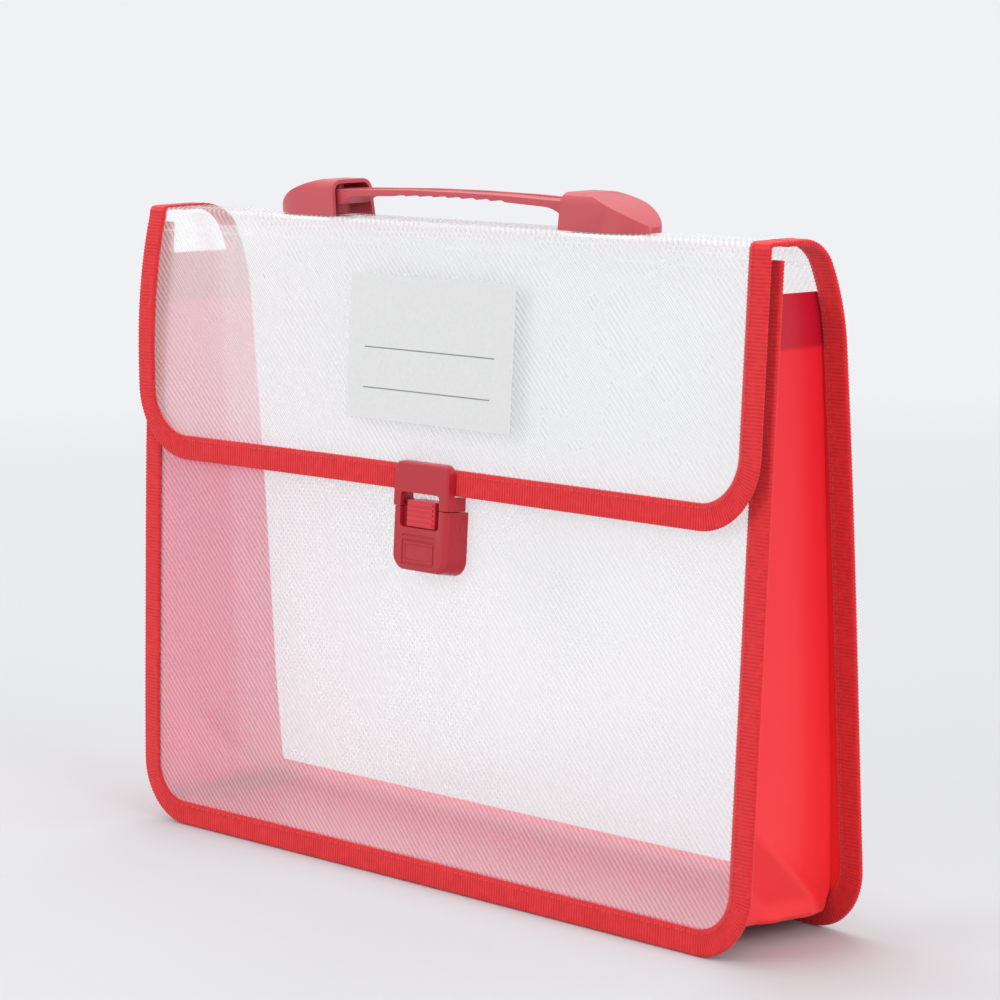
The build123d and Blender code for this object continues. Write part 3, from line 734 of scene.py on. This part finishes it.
def store(tree, geometry, name, value, kind="FLOAT"):
    """Writes a named attribute on the points."""
    inputs = {"Geometry": geometry, "Name": name, "Value": value}
    return result(tree, "GeometryNodeStoreNamedAttribute", inputs, data_type=kind, domain="POINT")


def turn_to_sheet(tree, line):
    """Turns a curve's normals to those that its guide carries."""
    inputs = {"Curve": line, "Normal": named(tree, "off", "FLOAT_VECTOR")}
    return result(tree, "GeometryNodeSetCurveNormal", inputs, mode="FREE")


def tape_tree():
    tree = start_tree("ribbed_tape")
    group_socket(tree, "Section", "NodeSocketObject")
    group_socket(tree, "Rib Pitch", "NodeSocketFloat", RIB_PITCH)
    group_socket(tree, "Rib Height", "NodeSocketFloat", RIB_HEIGHT)
    group_socket(tree, "Material", "NodeSocketMaterial")
    given = tree.nodes.new("NodeGroupInput").outputs
    line = result(tree, "GeometryNodeMeshToCurve", {0: given["Geometry"]})
    step = maths(tree, "DIVIDE", given["Rib Pitch"], float(RIB_SAMPLES))
    line = result(tree, "GeometryNodeResampleCurve", {"Curve": line, "Length": step}, mode="LENGTH")
    line = turn_to_sheet(tree, line)
    run = add_node(tree, "GeometryNodeSplineParameter").outputs["Length"]
    line = store(tree, line, "run", run)
    section = add_node(tree, "GeometryNodeObjectInfo", {"Object": given["Section"]}).outputs["Geometry"]
    section = result(tree, "GeometryNodeMeshToCurve", {0: section})
    inputs = {"Curve": line, "Profile Curve": section, "Fill Caps": True}
    swept = result(tree, "GeometryNodeCurveToMesh", inputs)
    turns = maths(tree, "DIVIDE", named(tree, "run"), given["Rib Pitch"])
    wave = maths(tree, "COSINE", maths(tree, "MULTIPLY", turns, 2 * pi))
    rib = maths(tree, "MULTIPLY", maths(tree, "ADD", wave, 1.0), 0.5)
    # The rib's height goes to the material as well, which paints the valleys in shade.
    swept = store(tree, swept, "rib", rib)
    rise = maths(tree, "MULTIPLY", maths(tree, "SUBTRACT", rib, 1.0), given["Rib Height"])
    rise = maths(tree, "MULTIPLY", rise, named(tree, "outside"))
    inputs = {0: result(tree, "GeometryNodeInputNormal"), "Scale": rise}
    push = result(tree, "ShaderNodeVectorMath", inputs, operation="SCALE")
    moved = result(tree, "GeometryNodeSetPosition", {"Geometry": swept, "Offset": push})
    finish_tree(tree, moved, given["Material"])
    return tree


ribbed_tape = tape_tree()

# %% Run a tree and keep its result


def through_tree(name, source, tree, values):
    """Runs a Geometry Nodes tree on an object and returns the result as a plain piece."""
    modifier = source.modifiers.new("tree", "NODES")
    modifier.node_group = tree
    sockets = {s.name: s.identifier for s in tree.interface.items_tree if s.in_out == "INPUT"}
    for label, value in values.items():
        modifier[sockets[label]] = value
    bpy.context.view_layer.update()
    shown = source.evaluated_get(bpy.context.evaluated_depsgraph_get())
    mesh = bpy.data.meshes.new_from_object(shown)
    mesh.name = name
    bpy.data.objects.remove(source)
    shade_smooth(mesh)
    return new_object(name, mesh)


def guide_lines(name, lines, normals):
    """Threads of edges that carry the sheet's normal at each point."""
    starts = np.cumsum([0] + [len(line) for line in lines[:-1]]).tolist()
    edges = [(first + i, first + i + 1) for first, line in zip(starts, lines) for i in range(len(line) - 1)]
    mesh = bpy.data.meshes.new(name)
    mesh.from_pydata(np.concatenate(lines).tolist(), edges, [])
    guide = new_object(name, mesh)
    keep_vector(guide, "off", np.concatenate(normals))
    return guide


def on_sheet(place, path, off):
    """A path's points at a distance off a sheet, and the sheet's normals there."""
    x, run = path.T
    points = place(x, run, off)
    outwards = place(x, run, off + 1 * MM) - points
    across = place(x + 1 * MM, run, off) - place(x - 1 * MM, run, off)
    along = place(x, run + 1 * MM, off) - place(x, run - 1 * MM, off)
    normals = np.cross(across, along)
    normals *= np.sign((normals * outwards).sum(axis=1))[:, None]
    return points, normals / np.linalg.norm(normals, axis=1)[:, None]


# %% The section and the paths
FOLD_ROUND = 0.95
FOLD_STEPS = 9
FOLD_TO_LEG = 3 * MM
LEG_EDGE = 2 * MM
PATH_STEP = 0.5 * MM


def tape_section(name, low, high):
    """The closed U of a folded tape: its fold at 0, its legs inwards, its faces at low and high."""
    middle = (low + high) / 2
    half = (high - low) / 2
    nose = half * FOLD_ROUND
    leg = (BINDING_WIDTH, BINDING_WIDTH - LEG_EDGE, nose + FOLD_TO_LEG)
    turns = np.linspace(pi / 2, 3 * pi / 2, FOLD_STEPS)
    outer = [(inward, high) for inward in leg]
    outer += [(nose + nose * cos(t), middle + half * sin(t)) for t in turns]
    outer += [(inward, low) for inward in reversed(leg)]
    slot = half - TAPE
    inner = [(BINDING_WIDTH, middle - slot), (TAPE + slot, middle - slot), (TAPE, middle)]
    inner += [(TAPE + slot, middle + slot), (BINDING_WIDTH, middle + slot)]
    points = outer + inner
    mesh = bpy.data.meshes.new(name)
    edges = [(i, (i + 1) % len(points)) for i in range(len(points))]
    mesh.from_pydata([(off, -inward, 0) for inward, off in points], edges, [])
    layer = mesh.attributes.new("outside", "FLOAT", "POINT")
    layer.data.foreach_set("value", [1.0] * len(outer) + [0.0] * len(inner))
    return new_object(name, mesh)


def u_path(corner, top, inset):
    """The edge of a panel as x and height above its lower edge, down the left side and up the right."""
    bend = corner - inset
    side = np.arange(top, corner, -PATH_STEP)
    turn = np.linspace(0, pi / 2, int(bend * pi / 2 / PATH_STEP))[1:]
    left = [(inset - HALF_WIDTH, height) for height in side]
    left += [(corner - HALF_WIDTH - bend * cos(t), corner - bend * sin(t)) for t in turn]
    right = [(-x, height) for x, height in reversed(left)]
    gap = int((right[0][0] - left[-1][0]) / PATH_STEP)
    flat = [(x, inset) for x in np.linspace(left[-1][0], right[0][0], gap)[1:-1]]
    return np.array(left + flat + right)


def make_tape(name, place, path, section):
    """Sweeps one binding along a path of x and run on a sheet."""
    points, normals = on_sheet(place, path, 0.0)
    guide = guide_lines(name + "_guide", [points], [normals])
    values = {"Section": section, "Rib Pitch": RIB_PITCH, "Rib Height": RIB_HEIGHT, "Material": grosgrain}
    piece = turned_out(through_tree(name, guide, ribbed_tape, values))
    box = np.array([v.co for v in piece.data.vertices]) / MM
    print(name, "has", len(piece.data.polygons), "faces, mm", box.min(0).round(1), box.max(0).round(1))
    return piece


# %% [markdown]
# ### Stitches
#
# A row of thread runs along each inner edge of a tape, on both of its faces. It follows the same path
# as the tape, further in. The tree drops points on the path at the pitch of a sewing machine and puts
# a small bead of thread on each, turned along the path.

# %% The tree that sews
STITCH_PITCH = 3.2 * MM
STITCH_LENGTH = 2.5 * MM
THREAD_RADIUS = 0.22 * MM
STITCH_INSET = 7.9 * MM
STITCH_SINK = 0.1 * MM
THREAD_RED = srgb(206, 34, 44)


def stitch_tree():
    tree = start_tree("stitch_row")
    group_socket(tree, "Pitch", "NodeSocketFloat", STITCH_PITCH)
    group_socket(tree, "Stitch Length", "NodeSocketFloat", STITCH_LENGTH)
    group_socket(tree, "Thread Radius", "NodeSocketFloat", THREAD_RADIUS)
    group_socket(tree, "Material", "NodeSocketMaterial")
    given = tree.nodes.new("NodeGroupInput").outputs
    line = turn_to_sheet(tree, result(tree, "GeometryNodeMeshToCurve", {0: given["Geometry"]}))
    inputs = {"Curve": line, "Length": given["Pitch"]}
    places = add_node(tree, "GeometryNodeCurveToPoints", inputs, mode="LENGTH").outputs
    inputs = {"Segments": 6, "Rings": 5, "Radius": given["Thread Radius"]}
    bead = result(tree, "GeometryNodeMeshUVSphere", inputs)
    thickness = maths(tree, "MULTIPLY", given["Thread Radius"], 2.0)
    reach = maths(tree, "DIVIDE", given["Stitch Length"], thickness)
    stretch = result(tree, "ShaderNodeCombineXYZ", {"X": 1.0, "Y": 1.0, "Z": reach})
    bead = result(tree, "GeometryNodeTransform", {"Geometry": bead, "Scale": stretch})
    inputs = {"Points": places["Points"], "Instance": bead, "Rotation": places["Rotation"]}
    sewn = result(tree, "GeometryNodeInstanceOnPoints", inputs)
    finish_tree(tree, sewn, given["Material"])
    return tree


def thread_material():
    material, tree, shader = new_material("red_thread", THREAD_RED, Roughness=0.55, Sheen_Weight=0.3)
    twist = noise(tree, object_position(tree), 3200, 1)
    plug(tree, shader.inputs["Base Color"], blend_colours(tree, twist, TAPE_DEEP_TONE_AND_SHADE, THREAD_RED))
    bump(tree, shader, twist, 0.05 * MM, 0.6)
    return material


stitch_row = stitch_tree()
thread = thread_material()


def sew(name, place, path, low, high):
    """One row of stitches on each face of a tape. Low and high are the faces' distances off the sheet."""
    rows = [on_sheet(place, path, off) for off in (high - STITCH_SINK, low + STITCH_SINK)]
    guide = guide_lines(name + "_guide", [points for points, _ in rows], [normals for _, normals in rows])
    values = {"Pitch": STITCH_PITCH, "Stitch Length": STITCH_LENGTH, "Thread Radius": THREAD_RADIUS}
    values["Material"] = thread
    piece = through_tree(name, guide, stitch_row, values)
    print(name, "has", len(piece.data.polygons), "faces")
    return piece


# %% Front, back and flap bindings
CLOTH_ROOM = 0.6 * MM
STITCH_STOP = 3 * MM
FRONT_FACES = (-SHEET - CLOTH_ROOM - TAPE, TAPE)
BACK_FACES = (-SHEET / 2 - CLOTH - TAPE, SHEET / 2 + TAPE)
FLAP_FACES = (-SHEET / 2 - TAPE, SHEET / 2 + TAPE)


def front_path(inset=0.0):
    return u_path(PANEL_CORNER, front_top - (STITCH_STOP if inset else 0.0), inset)


def back_path(inset=0.0):
    return u_path(PANEL_CORNER, STRIP_MIDDLE_RUN, inset)[::-1]


def flap_path(inset=0.0):
    path = u_path(FLAP_CORNER, SHEET_END_RUN - STRIP_MIDDLE_RUN, inset)
    path[:, 1] = SHEET_END_RUN - path[:, 1]
    return path


def bind(side, place, path_at, faces):
    """The tape round one sheet and its stitches further in."""
    section = tape_section(side + "_section", *faces)
    tape = make_tape(side + "_tape", place, path_at(), section)
    bpy.data.objects.remove(section)
    return tape, sew(side + "_stitches", place, path_at(STITCH_INSET), *faces)


front, front_stitches = bind("front", front_sheet, front_path, FRONT_FACES)
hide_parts("front_binding")
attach(front, "front")
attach(front_stitches, "front")
back, back_stitches = bind("back", long_sheet, back_path, BACK_FACES)
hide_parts("back_binding")
blend_over(back, BACK_CREASE_RUN)
blend_over(back_stitches, BACK_CREASE_RUN)
flap, flap_stitches = bind("flap", long_sheet, flap_path, FLAP_FACES)
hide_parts("flap_binding", "strip_binding_left", "strip_binding_right")
blend_over(flap, FRONT_CREASE_RUN)
blend_over(flap_stitches, FRONT_CREASE_RUN)

# %% [markdown]
# ## The cloth gusset
#
# One strip of coated cloth makes both side walls and the bottom. It is sewn flat under the tapes,
# folds square where wall meets bottom, and is pulled into a slanting crease above each lower back
# corner. A grid of points, path by across, is enough: the path has a fixed number of points on the
# walls, the two corners and the bottom, so its corners may be round at the front seam and sharp
# everywhere else. The normals of the finished grid then give the cloth its thickness.

# %% Cloth material
CLOTH_RED = srgb(243, 48, 53)
CLOTH_UPPER_SHADE = srgb(229, 30, 44)
CLOTH_INSIDE = srgb(220, 26, 96)
CLOTH_FLOOR_SHADE = srgb(184, 4, 68)
HEM_SHADE_RED = srgb(190, 8, 40)
UPPER_SHADE_HEIGHTS = (200 * MM, 40 * MM)
FLOOR_SHADE_HEIGHTS = (14 * MM, 10 * MM)


def cloth_material():
    looks = {"Roughness": 0.36, "Sheen_Weight": 0.05, "Specular_IOR_Level": 0.38}
    material, tree, shader = new_material("coated_cloth", CLOTH_RED, **looks)
    place = object_position(tree)
    height = split(tree, place)["Z"]
    patch = remap(tree, noise(tree, place, 18, 3), 0.3, 0.7, 0.7, 1.0)
    # The walls are painted darker towards the top, as shade; the patch noise varies the tone at random.
    shade = maths(tree, "MULTIPLY", remap(tree, height, *UPPER_SHADE_HEIGHTS), patch)
    colour = blend_colours(tree, shade, CLOTH_UPPER_SHADE, CLOTH_RED)
    # Inside, the bottom of the cloth is painted darker, as the shade that lies low in the case.
    inside_and_floor_shade = blend_colours(tree, remap(tree, height, *FLOOR_SHADE_HEIGHTS), CLOTH_INSIDE, CLOTH_FLOOR_SHADE)
    colour = blend_colours(tree, attribute(tree, "inside"), colour, inside_and_floor_shade)
    # The hem band is painted darker, as shade where less light comes through the doubled cloth.
    colour = blend_colours(tree, attribute(tree, "hem"), colour, HEM_SHADE_RED)
    plug(tree, shader.inputs["Base Color"], colour)
    bump(tree, shader, noise(tree, place, 1400, 1), 0.02 * MM, 0.5)
    return material


coated_cloth = cloth_material()

# %% The gusset's path
GUSSET_INSET = 9.9 * MM
FLANGE_INSET = 8.8 * MM
GUSSET_TOP = 223.4 * MM
HEM_LOW = GUSSET_TOP - 19.5 * MM
WALL_POINTS = 130
CORNER_POINTS = 15
FLOOR_POINTS = 150
FOLD_CORNER = 2.0 * MM
BACK_SEAM_HEIGHTS = (0.015, 0.052, 0.075, 0.129, 0.223)
BACK_SEAM_INSETS = (0.0148, 0.0131, 0.0129, 0.0124, 0.0105)


def gusset_path(side_inset, low, corner):
    """Points (x, height) down the left wall, round a corner, along the bottom and up again."""
    height = np.linspace(GUSSET_TOP, low + corner, WALL_POINTS)
    turn = np.linspace(0, pi / 2, CORNER_POINTS + 2)[1:-1]
    foot = HALF_WIDTH - side_inset(low + corner)
    left = np.stack([-(HALF_WIDTH - side_inset(height)), height], axis=1)
    bend = np.stack([-foot + corner * (1 - np.cos(turn)), low + corner * (1 - np.sin(turn))], axis=1)
    flat_x = np.linspace(-foot + corner, foot - corner, FLOOR_POINTS)
    floor = np.stack([flat_x, np.full(FLOOR_POINTS, low)], axis=1)
    half = np.concatenate([left, bend])
    mirrored = half[::-1] * (-1, 1)
    return np.concatenate([half, floor, mirrored])


def even_inset(value):
    return lambda height: np.full_like(np.asarray(height, float), value)


def back_inset(height):
    return np.interp(height, BACK_SEAM_HEIGHTS, BACK_SEAM_INSETS)


# %% The gusset's folds
SEAM_LOW = 16.0 * MM
SAG_LOW = 7.0 * MM
FOLD_LOW = 9.6 * MM
CREASE_HIGH = (-0.016, 0.043)
CREASE_LOW = (0.0238, 0.0072)
CREASE_PUSH = 4.2 * MM
RIDGE_LIFT = 1.2 * MM
FLARE_LIFT = 2.6 * MM
TUCK_PUSH = 1.5 * MM
SLACK_PUSH = 0.8 * MM
SLACK_FULL = 800 * MM ** 2
FLOOR_SHARES = (0, 0.03, 0.075, 0.5, 1)
FLOOR_LEVELS = (SEAM_LOW, 11 * MM, SAG_LOW, 7.7 * MM, FOLD_LOW)


def wall_push(y, z):
    """How far a side wall is pulled in, by where it is seen from the side.

    The crease slants down to the back. Under it lies a facet, along it a ridge, at its foot the cloth
    flares out, and beside its lower half runs a small tuck.
    """
    ends = np.array(CREASE_LOW) - np.array(CREASE_HIGH)
    length = np.linalg.norm(ends)
    ahead, up = ends / length
    beneath = (y - CREASE_HIGH[0]) * up - (z - CREASE_HIGH[1]) * ahead
    run = (y - CREASE_HIGH[0]) * ahead + (z - CREASE_HIGH[1]) * up
    share = run / length
    facet = fade(beneath, 0, 13 * MM) * fade(y, front_foot.y + 3 * MM, front_foot.y + 12 * MM)
    ridge = np.exp(-np.abs(beneath) / (3.5 * MM)) * fade(share, 0, 1 / 6) * fade(share, 1, 0.8)
    flare = fade(z, 15 * MM, 9 * MM) * fade(y, -8 * MM, 0) * fade(y, 23 * MM, 16 * MM)
    tuck = np.exp(-((beneath + 4.5 * MM) / (1.6 * MM)) ** 2)
    tuck *= fade(share, 1.4 / 2.4, 1) * fade(run, length, length - 5 * MM)
    between_seams = np.clip((back_foot_y - y) * (y - front_foot.y) / SLACK_FULL, 0, 1)
    slack = np.sin(pi * fade(z, 0, GUSSET_TOP)) * between_seams
    pulled_in = CREASE_PUSH * facet + TUCK_PUSH * tuck
    return pulled_in - RIDGE_LIFT * ridge - FLARE_LIFT * flare - SLACK_PUSH * slack


def floor_height(share):
    """Height of the bottom from the back seam, at 0, to the front seam, at 1."""
    return float(np.interp(share, FLOOR_SHARES, FLOOR_LEVELS))


# %% Gusset
GUSSET_ACROSS = 46
SEAM_CROWDING = 1.15
ROUND_FROM = 0.9
BACK_OFF = -SHEET / 2 - 0.25 * MM
FRONT_OFF = -SHEET - 0.35 * MM
HEM_EDGE = 0.8 * MM
CASE_MIDDLE = (0, 0, 120 * MM)


def on_back(path):
    return long_sheet(path[:, 0], path[:, 1], BACK_OFF)


def on_front(path):
    return front_sheet(path[:, 0], path[:, 1] / front_up.z, FRONT_OFF)


def gusset_grid():
    """Middle surface of the cloth as path by across, from the back tape to the front tape."""
    hidden = gusset_path(even_inset(FLANGE_INSET), FLANGE_INSET, PANEL_CORNER - FLANGE_INSET)
    columns = [on_back(hidden)]
    for share in np.linspace(0, 1, GUSSET_ACROSS) ** SEAM_CROWDING:
        def inset(height):
            return back_inset(height) * (1 - share) + GUSSET_INSET * share

        front_round = fade(share, ROUND_FROM, 1) ** 2
        corner = FOLD_CORNER + (PANEL_CORNER - GUSSET_INSET - FOLD_CORNER) * front_round
        path = gusset_path(inset, floor_height(share), corner)
        columns.append(on_back(path) * (1 - share) + on_front(path) * share)
    columns.append(on_front(hidden))
    grid = np.stack(columns, axis=1)
    inner = grid[:, 1:-1]
    push = wall_push(inner[..., 1], inner[..., 2])
    inner[..., 0] *= 1 - push / (HALF_WIDTH - GUSSET_INSET)
    return grid


def make_gusset():
    grid = gusset_grid()
    along_path, across = np.gradient(grid, axis=0), np.gradient(grid, axis=1)
    normal = np.cross(along_path, across)
    normal /= np.linalg.norm(normal, axis=2)[..., None]
    run = np.cumsum(np.append(0, np.linalg.norm(np.diff(grid[:, GUSSET_ACROSS // 2], axis=0), axis=1)))
    width = np.cumsum(np.linalg.norm(np.diff(grid, axis=1, prepend=grid[:, :1]), axis=2), axis=1)
    flat = np.stack(np.broadcast_arrays(run[:, None], width, 0.0), axis=-1)
    inwards = normal * CLOTH / 2
    inwards *= np.sign((inwards * (grid - CASE_MIDDLE)).sum())
    piece = turned_out(thin_solid("cloth_gusset", grid + inwards, grid - inwards, flat))
    heights = np.array([v.co.z for v in piece.data.vertices])
    keep_value(piece, "hem", fade(heights, HEM_LOW, HEM_LOW + HEM_EDGE))
    piece.data.materials.append(coated_cloth)
    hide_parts("gusset")
    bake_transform(piece)


make_gusset()

# %% [markdown]
# ## Rigid pieces
#
# The moulded pieces keep their CAD shape. A CAD mesh is loose triangles, so a copy of it is merged,
# its flat areas are made whole again and its edges get the small round that a mould leaves.

# %% Plastic materials
# The handle's pale pink is partly its own plastic and partly painted reflection of the white surroundings.
HANDLE_RED_AND_REFLECTION = srgb(190, 72, 80)
CLASP_RED = srgb(176, 30, 43)
BUTTON_RED = srgb(208, 42, 57)
ROUGHNESS_SPREAD = 0.03


def plastic_material(name, colour, roughness, metallic=0.0):
    material, tree, shader = new_material(name, colour, Metallic=metallic, IOR=1.5)
    place = object_position(tree)
    spread = (roughness - ROUGHNESS_SPREAD, roughness + ROUGHNESS_SPREAD)
    plug(tree, shader.inputs["Roughness"], remap(tree, noise(tree, place, 120), 0.3, 0.7, *spread))
    bump(tree, shader, noise(tree, place, 2500, 1), 0.01 * MM, 0.4)
    return material


handle_plastic = plastic_material("red_handle_plastic", HANDLE_RED_AND_REFLECTION, 0.4)
clasp_plastic = plastic_material("red_clasp_plastic", CLASP_RED, 0.3)
button_plastic = plastic_material("red_button_plastic", BUTTON_RED, 0.36)
pale_plastic = plastic_material("pale_moulded_plastic", (0.80, 0.81, 0.82), 0.5)
steel = plastic_material("plated_steel", (0.72, 0.72, 0.74), 0.3, 1.0)

# %% Merged copies of CAD nodes
MERGE_WITHIN = 0.002 * MM
FLAT_WITHIN = radians(1.0)
MOULD_EDGE = radians(32)
MOULD_ROUND = 0.25 * MM


def merged_copy(node, name, material):
    """A clean copy of a CAD node, with small rounds on its edges, that stands in its place."""
    build = bmesh.new()
    build.from_mesh(frame["nodes"][node].data)
    bmesh.ops.remove_doubles(build, verts=build.verts, dist=MERGE_WITHIN)
    bmesh.ops.dissolve_limit(build, angle_limit=FLAT_WITHIN, verts=build.verts, edges=build.edges)
    mesh = bpy.data.meshes.new(name)
    build.to_mesh(mesh)
    build.free()
    piece = new_object(name, mesh)
    mesh.materials.append(material)
    shade_smooth(mesh)
    mesh.set_sharp_from_angle(angle=MOULD_EDGE)
    modifier = piece.modifiers.new("round", "BEVEL")
    modifier.width = MOULD_ROUND
    modifier.segments = 2
    modifier.limit_method = "ANGLE"
    modifier.angle_limit = MOULD_EDGE
    modifier.harden_normals = True
    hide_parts(node)
    return piece


RED_PIECES = {
    "clasp_hook": ("flap", clasp_plastic),
    "clasp_body": ("front", clasp_plastic),
    "release_button": ("button", button_plastic),
    "handle_cap_left": ("strip", handle_plastic),
    "handle_cap_right": ("strip", handle_plastic),
    "handle_strap": ("strap", handle_plastic),
}
for node, (body, material) in RED_PIECES.items():
    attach(merged_copy(node, node + "_moulding", material), body)
PLAIN_PIECES = {
    "clasp_plate": pale_plastic,
    "hook_plate": pale_plastic,
    "handle_plate_left": pale_plastic,
    "handle_plate_right": pale_plastic,
    "clasp_spring": pale_plastic,
    "clasp_screws": steel,
    "hook_rivets": steel,
    "handle_screws_left": steel,
    "handle_screws_right": steel,
}
for node, material in PLAIN_PIECES.items():
    for material_slot in frame["nodes"][node].material_slots:
        material_slot.material = material
print("materials on CAD nodes:", sorted(PLAIN_PIECES))

# %% [markdown]
# ## Label
#
# A matt grey card with two ruled lines lies on the flap. The lines are printed, so they are colour
# only: the material measures how far each point is from a line, in the card's own width and height.

# %% Label
LABEL_TONE = srgb(218, 218, 217)
LINE_TONE = srgb(132, 132, 134)
PAPER_TONE = srgb(213, 213, 213)
LABEL_LOW, LABEL_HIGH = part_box("label")
# Each line is a height, a start and an end, as shares of the card.
RULED_LINES = ((0.495, 0.095, 0.89), (0.215, 0.095, 0.87))
LINE_HALF = 0.0045
LINE_EDGE = 0.002


def between(tree, value, low, high):
    """1 where a value lies between two limits, with a soft edge."""
    rising = remap(tree, value, low - LINE_EDGE, low + LINE_EDGE)
    falling = remap(tree, value, high - LINE_EDGE, high + LINE_EDGE, 1.0, 0.0)
    return maths(tree, "MULTIPLY", rising, falling)


def label_material():
    looks = {"Roughness": 0.55, "Specular_IOR_Level": 0.3}
    material, tree, shader = new_material("grey_label", LABEL_TONE, **looks)
    x, height, _ = split(tree, flat_place(tree))
    ink = 0.0
    for line, first, last in RULED_LINES:
        across = between(tree, x, first, last)
        up = between(tree, height, line - LINE_HALF, line + LINE_HALF)
        ink = maths(tree, "MAXIMUM", ink, maths(tree, "MULTIPLY", across, up))
    fibre = noise(tree, object_position(tree), 700, 3)
    paper = blend_colours(tree, remap(tree, fibre, 0.3, 0.7), PAPER_TONE, LABEL_TONE)
    plug(tree, shader.inputs["Base Color"], blend_colours(tree, ink, paper, LINE_TONE))
    bump(tree, shader, fibre, 0.01 * MM, 0.3)
    return material


def make_label():
    share_x, share_up = np.meshgrid(np.linspace(0, 1, 24), np.linspace(0, 1, 14))
    x = LABEL_LOW.x + (LABEL_HIGH.x - LABEL_LOW.x) * share_x
    up = (LABEL_LOW.z + (LABEL_HIGH.z - LABEL_LOW.z) * share_up) / front_up.z
    face = FLAP_STANDOFF + SHEET / 2
    outer = front_sheet(x, up, face + 0.2 * MM)
    inner = front_sheet(x, up, face + 0.02 * MM)
    flat = np.stack([share_x, share_up, np.zeros_like(x)], axis=-1)
    piece = turned_out(thin_solid("name_label", outer, inner, flat))
    piece.data.materials.append(label_material())
    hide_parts("label")
    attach(piece, "flap")


make_label()
